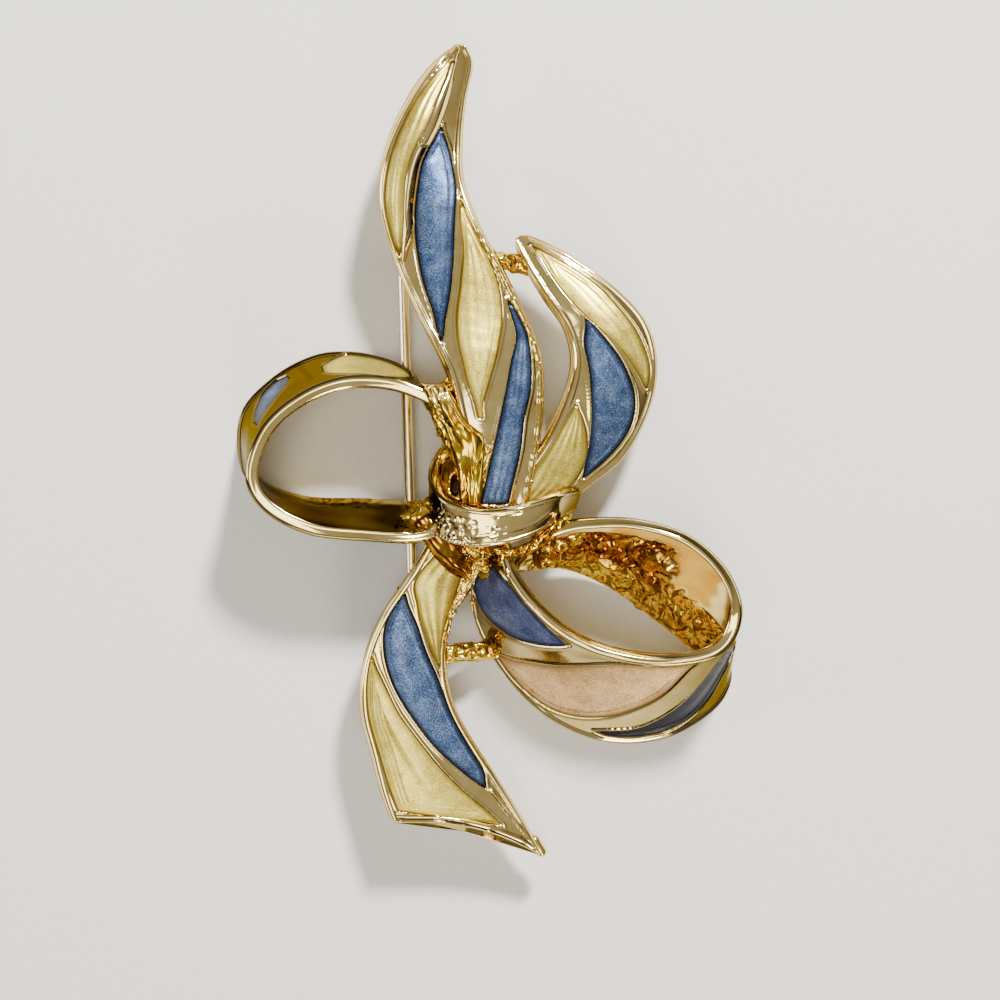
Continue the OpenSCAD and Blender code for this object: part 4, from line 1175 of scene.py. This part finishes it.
def beaded(points, s, across):
    """Beads strewn at random over a web, each up to 0.3 mm across."""
    rng = np.random.default_rng(93)
    height = np.zeros(s.shape)
    for _ in range(90):
        i, j = rng.integers(s.shape[0]), rng.integers(s.shape[1] // 2)
        radius = rng.uniform(0.16, 0.3)
        away = np.linalg.norm(points - points[i, j], axis=-1) / radius
        height = np.maximum(height, radius * np.sqrt(np.clip(1 - away**2, 0, 1)))
    return height


def lumpy(points, s, across):
    return crumple(points, 1.4, 64) * 0.16 + crumple(points, 0.6, 65) * 0.06


def soft_swell(points, s, across):
    return waves(points, 2.2, 66) * 0.14 + 0.12 * np.sin(across * 9 + s * 4)


def cast_webs():
    """Webs of metal that ran between the ribbons round the knot when the bow was cast and soldered."""
    points, faces, s = web(ROOT_LEFT, ROOT_RIGHT, 1.1, 0.25, folded)
    stain = 0.6 * smooth(waves(points, 2.2, 67), 0.45, 0.9) * smooth(s, 0.25, 0.45)
    gilt_piece("root_web", points, faces, grain=0.2, hollow=smooth(s, 0.05, 0.4) * 0.6 + 0.4, stain=stain)
    points, faces, _ = web(RING_OUTER, RING_INNER, 0.9, 0.1, dished)
    # Painted shade darkens the bottom of the hole; the corner's spot and the faint brown elsewhere are stain
    pit_shade = np.exp(-((((points[:, :2] - PIT) / np.array([0.36, 0.8])) ** 2).sum(-1) ** 2))
    corner = 1 - smooth(np.linalg.norm(points[:, :2] - np.array([-3.3, -0.1]), axis=1), 0.3, 0.75)
    stain = np.clip(pit_shade + corner + 0.2, 0, 1)
    gilt_piece("ring_web", points, faces, grain=0.3, hollow=1.0, stain=stain, dull=pit_shade)
    points, faces, _ = web(STRAP_UPPER, STRAP_LOWER, 0.9, 0.25, soft_swell)
    stain = np.clip(0.85 + 0.35 * waves(points, 2.4, 68), 0.4, 1)
    gilt_piece("strap_web", points, faces, grain=0.3, hollow=1.0, stain=stain)
    points, faces, _ = web(SPILL_LEFT, SPILL_RIGHT, 0.8, 0.15, lumpy)
    gilt_piece("spill_web", points, faces, grain=0.6, hollow=0.9)
    points, faces, _ = web(ROPE_UPPER, ROPE_LOWER, 0.9, 0.3, lumpy)
    stain = 0.8 * smooth(waves(points, 1.8, 69), -0.2, 0.4)
    gilt_piece("rope_web", points, faces, grain=0.5, hollow=1.0, stain=stain)
    points, faces, _ = web(BEAD_LEFT, BEAD_RIGHT, 0.8, 0.0, beaded)
    gilt_piece("bead_web", points, faces, grain=0.1, hollow=0.55)


for ribbon in RIBBONS:
    ribbon_piece(ribbon)
for cell in CELLS:
    enamel_piece(cell)
cast_core()
cast_webs()


# Pin, hinge and catch, sizes in mm

HINGE_SPOT = point_at("upper_tail", 0.533, -0.7, -TAIL_T / 2)
CATCH_SPOT = point_at("lower_tail", 0.26, 0.48, -TAIL_T / 2)
HINGE = np.array([*HINGE_SPOT[:2], 1.5])  # middle of the rivet
HINGE_TOP, CATCH_TOP = HINGE_SPOT[2], CATCH_SPOT[2]
PIN_REACH = np.linalg.norm((CATCH_SPOT - HINGE_SPOT)[:2])
PIN_SKEW = math.atan2(CATCH_SPOT[0] - HINGE_SPOT[0], HINGE_SPOT[1] - CATCH_SPOT[1])
PIN_L, POINT_L, PIN_D = PIN_REACH + 1.9, 3.2, 1.05
EYE_D, EYE_W, RIVET_D, PLAY = 2.1, 1.1, 0.8, 0.05
EAR_T, EAR_L, EAR_GAP, EAR_ROUND = 0.55, 2.8, 0.08, 1.2
HEAD_D, HEAD_T = 1.3, 0.25
CATCH_L, CATCH_GAP, CHEEK_T, CATCH_Z = 2.0, 0.12, 0.6, 0.4


def at_hinge(points):
    """Points in mm with the pin along -Y and the rivet along X, moved to the hinge."""
    c, s = math.cos(PIN_SKEW), math.sin(PIN_SKEW)
    turned = np.asarray(points, float) @ np.array([[c, s, 0], [-s, c, 0], [0, 0, 1]])
    return turned + HINGE


def lathe(profile):
    """Closed shape turned about Y. Profile: place along Y and radius, from tip to tip."""
    around = 40
    profile = np.asarray(profile, float)
    turn = np.linspace(0, 2 * math.pi, around, endpoint=False)
    rings = np.stack([
        profile[:, 1:] * np.cos(turn)[None],
        np.repeat(profile[:, :1], around, 1),
        profile[:, 1:] * np.sin(turn)[None],
    ], -1)
    points = np.vstack([rings.reshape(-1, 3), [0, profile[0, 0], 0], [0, profile[-1, 0], 0]])
    return points, [face[::-1] for face in tube_faces(len(profile), around)]


def ring_shape(section):
    """Closed section turned about Y into a ring. Section: place along Y and radius."""
    around, corners = 48, len(section)
    section = np.asarray(section, float)
    turn = np.linspace(0, 2 * math.pi, around, endpoint=False)
    points = np.stack([
        np.cos(turn)[:, None] * section[None, :, 1],
        np.repeat(section[None, :, 0], around, 0),
        np.sin(turn)[:, None] * section[None, :, 1],
    ], -1).reshape(-1, 3)
    at = np.arange(around * corners).reshape(around, corners)
    after = np.roll(at, -1, 0)
    quads = np.stack([at, np.roll(at, -1, 1), np.roll(after, -1, 1), after], -1).reshape(-1, 4).tolist()
    return points, quads


def swap_axes(points):
    """Turns a shape about Y into one about X."""
    return np.stack([points[:, 1], -points[:, 0], points[:, 2]], 1)


def pin_pieces():
    """Wire with its point, the eye on its end, and the rivet with its two heads."""
    wire_r, root, neck = PIN_D / 2, EYE_D / 2 * 0.75, 0.3
    straight = np.linspace(0.5, PIN_L - POINT_L - root - 0.8, 30)
    taper = [(-(PIN_L - POINT_L) - POINT_L * t, wire_r * (1 - 0.8 * t**1.4)) for t in np.linspace(0, 1, 14)]
    profile = [(-root, wire_r * 0.9), (-root - neck, wire_r)]
    profile += [(-root - neck - k, wire_r) for k in straight] + taper
    end, end_r = profile[-1]
    profile += [(end - end_r * 0.7, end_r * 0.7), (end - end_r, end_r * 0.2)]
    points, faces = lathe(profile)
    make_piece("pin_wire", at_hinge(points), faces, STEEL, "pin", ["pin_stem"])
    inner, outer, half, soft = RIVET_D / 2 + PLAY, EYE_D / 2, EYE_W / 2, 0.15
    section = [
        (-half + soft, outer), (half - soft, outer), (half, outer - soft), (half, inner + soft),
        (half - soft, inner), (-half + soft, inner), (-half, inner + soft), (-half, outer - soft),
    ]
    points, faces = ring_shape(section)
    make_piece("pin_eye", at_hinge(swap_axes(points)), faces, STEEL, "pin", ["pin_stem"])
    head = EYE_W / 2 + EAR_GAP + EAR_T + 0.03
    side = [
        (head, RIVET_D / 2), (head, HEAD_D / 2), (head + HEAD_T * 0.3, HEAD_D / 2),
        (head + HEAD_T * 0.8, HEAD_D * 0.42), (head + HEAD_T, HEAD_D * 0.25),
    ]
    points, faces = lathe([(-y, radius) for y, radius in side[::-1]] + side)
    make_piece("rivet", at_hinge(swap_axes(points)), faces, STEEL, "bow", ["hinge_rivet"])


def plate(name, outline, low_x, high_x):
    """Cast plate with rounded edges: an outline in Y and Z, thick along X."""
    soft, slight = 0.12, 0.12 * 0.3
    outline = np.asarray(outline, float)
    centre = outline.mean(0)
    out = np.linalg.norm(outline - centre, axis=1, keepdims=True)
    inner, outer = (centre + (outline - centre) * (1 - amount / out) for amount in (soft, slight))
    layers = [
        (low_x, inner), (low_x + slight, outer), (low_x + soft, outline),
        (high_x - soft, outline), (high_x - slight, outer), (high_x, inner),
    ]
    rings = np.stack([np.column_stack([np.full(len(layer), x), layer]) for x, layer in layers])
    points = np.vstack([rings.reshape(-1, 3), [low_x, *centre], [high_x, *centre]])
    gilt_piece(name, at_hinge(points), tube_faces(*rings.shape[:2]), grain=0.35, hollow=0.2)


def hinge_ears():
    """Two plates with round feet that hold the rivet, from the upper tail down to the floor."""
    inner = EYE_W / 2 + EAR_GAP
    low, high, half = -HINGE[2] + 0.02, HINGE_TOP - HINGE[2], EAR_L / 2
    foot = [
        (math.cos(a) * half, low + EAR_ROUND - math.sin(a) * EAR_ROUND) for a in np.linspace(0, math.pi, 17)
    ]
    outline = [(half, high), *foot, (-half, high)]
    plate("hinge_ear_left", outline, -(inner + EAR_T), -inner)
    plate("hinge_ear_right", outline, inner, inner + EAR_T)


def catch():
    """Hook with two cheeks that spans the pin, open below."""
    mouth = PIN_D / 2 + CATCH_GAP
    half, end = mouth + CHEEK_T, CATCH_L / 2
    top, foot = CATCH_TOP - HINGE[2], CATCH_Z - HINGE[2]
    arch = [(math.cos(a) * mouth, math.sin(a) * mouth) for a in np.linspace(0, math.pi, 17)]
    section = np.array([
        (-half, foot + 0.1), (-half, top), (half, top), (half, foot + 0.1), (half - 0.15, foot),
        (mouth, foot), *arch, (-mouth, foot), (-half + 0.15, foot),
    ])
    corners = len(section)
    ys = np.array([-end, -end + 0.1, end - 0.1, end]) - PIN_REACH
    rings = np.stack([np.column_stack([section[:, 0], np.full(corners, y), section[:, 1]]) for y in ys])
    at = np.arange(len(ys) * corners).reshape(len(ys), corners)
    a, b = at[:-1], at[1:]
    faces = np.stack([a, np.roll(a, -1, 1), np.roll(b, -1, 1), b], -1).reshape(-1, 4).tolist()
    faces += [at[0][::-1].tolist(), at[-1].tolist()]
    gilt_piece("catch", at_hinge(rings.reshape(-1, 3)), faces, grain=0.35, hollow=0.2)


pin_pieces()
hinge_ears()
catch()


# Floor, light and camera

FLOOR_HALF = 3.0  # metres
AIM = Vector((0, 0, 0.005))  # what the lamps point at

floor_mesh = bpy.data.meshes.new("floor")
corners = [(x * FLOOR_HALF, y * FLOOR_HALF, 0) for x, y in ((-1, -1), (1, -1), (1, 1), (-1, 1))]
floor_mesh.from_pydata(corners, [], [(0, 1, 2, 3)])
floor_mesh.materials.append(card_paper())
floor = bpy.data.objects.new("floor", floor_mesh)
bpy.context.scene.collection.objects.link(floor)


def soft_box(name, place, width, power, colour):
    """Round soft lamp at a place in metres that points at the brooch."""
    light = bpy.data.lights.new(name, "AREA")
    light.shape, light.size, light.energy = "DISK", width, power
    light.color = linear(colour)[:3]
    lamp = bpy.data.objects.new(name, light)
    lamp.location = place
    lamp.rotation_euler = (AIM - Vector(place)).to_track_quat("-Z", "Y").to_euler()
    bpy.context.scene.collection.objects.link(lamp)


soft_box("key", (0.13, 0.33, 0.30), 0.07, 8.0, "#FFFCF2")
soft_box("overhead", (-0.10, -0.12, 0.55), 0.35, 1.7, "#FFFAEC")
soft_box("side", (-0.45, 0.05, 0.16), 0.2, 1.2, "#EAF1FF")
soft_box("front", (0.1, -0.4, 0.22), 0.16, 1.6, "#FFF6E4")

world = bpy.data.worlds.new("studio")
bpy.context.scene.world = world
world.use_nodes = True
sky = world.node_tree
height = add_node(
    sky, "ShaderNodeSeparateXYZ", {0: add_node(sky, "ShaderNodeTexCoord").outputs["Generated"]}
).outputs["Z"]
# Dark round the horizon, as in a room, and pale overhead
shades = (
    (0.0, "#3A3630"), (0.2, "#463F35"), (0.36, "#9C907A"),
    (0.55, "#C6BDA6"), (0.8, "#D8D2BE"), (1.0, "#E2DECB"),
)
shade = add_node(sky, "ShaderNodeValToRGB", {"Fac": height}, stops=shades).outputs["Color"]
sky.links.new(shade, sky.nodes["Background"].inputs["Color"])
sky.nodes["Background"].inputs["Strength"].default_value = 0.62

camera_data = bpy.data.cameras.new("camera")
camera_data.sensor_width, camera_data.lens = 36, 92.8
camera_data.clip_start, camera_data.clip_end = 0.01, 20
camera = bpy.data.objects.new("camera", camera_data)
camera.location = (0.001392, -0.004485, 0.240)
bpy.context.scene.collection.objects.link(camera)
bpy.context.scene.camera = camera
bpy.context.view_layer.update()
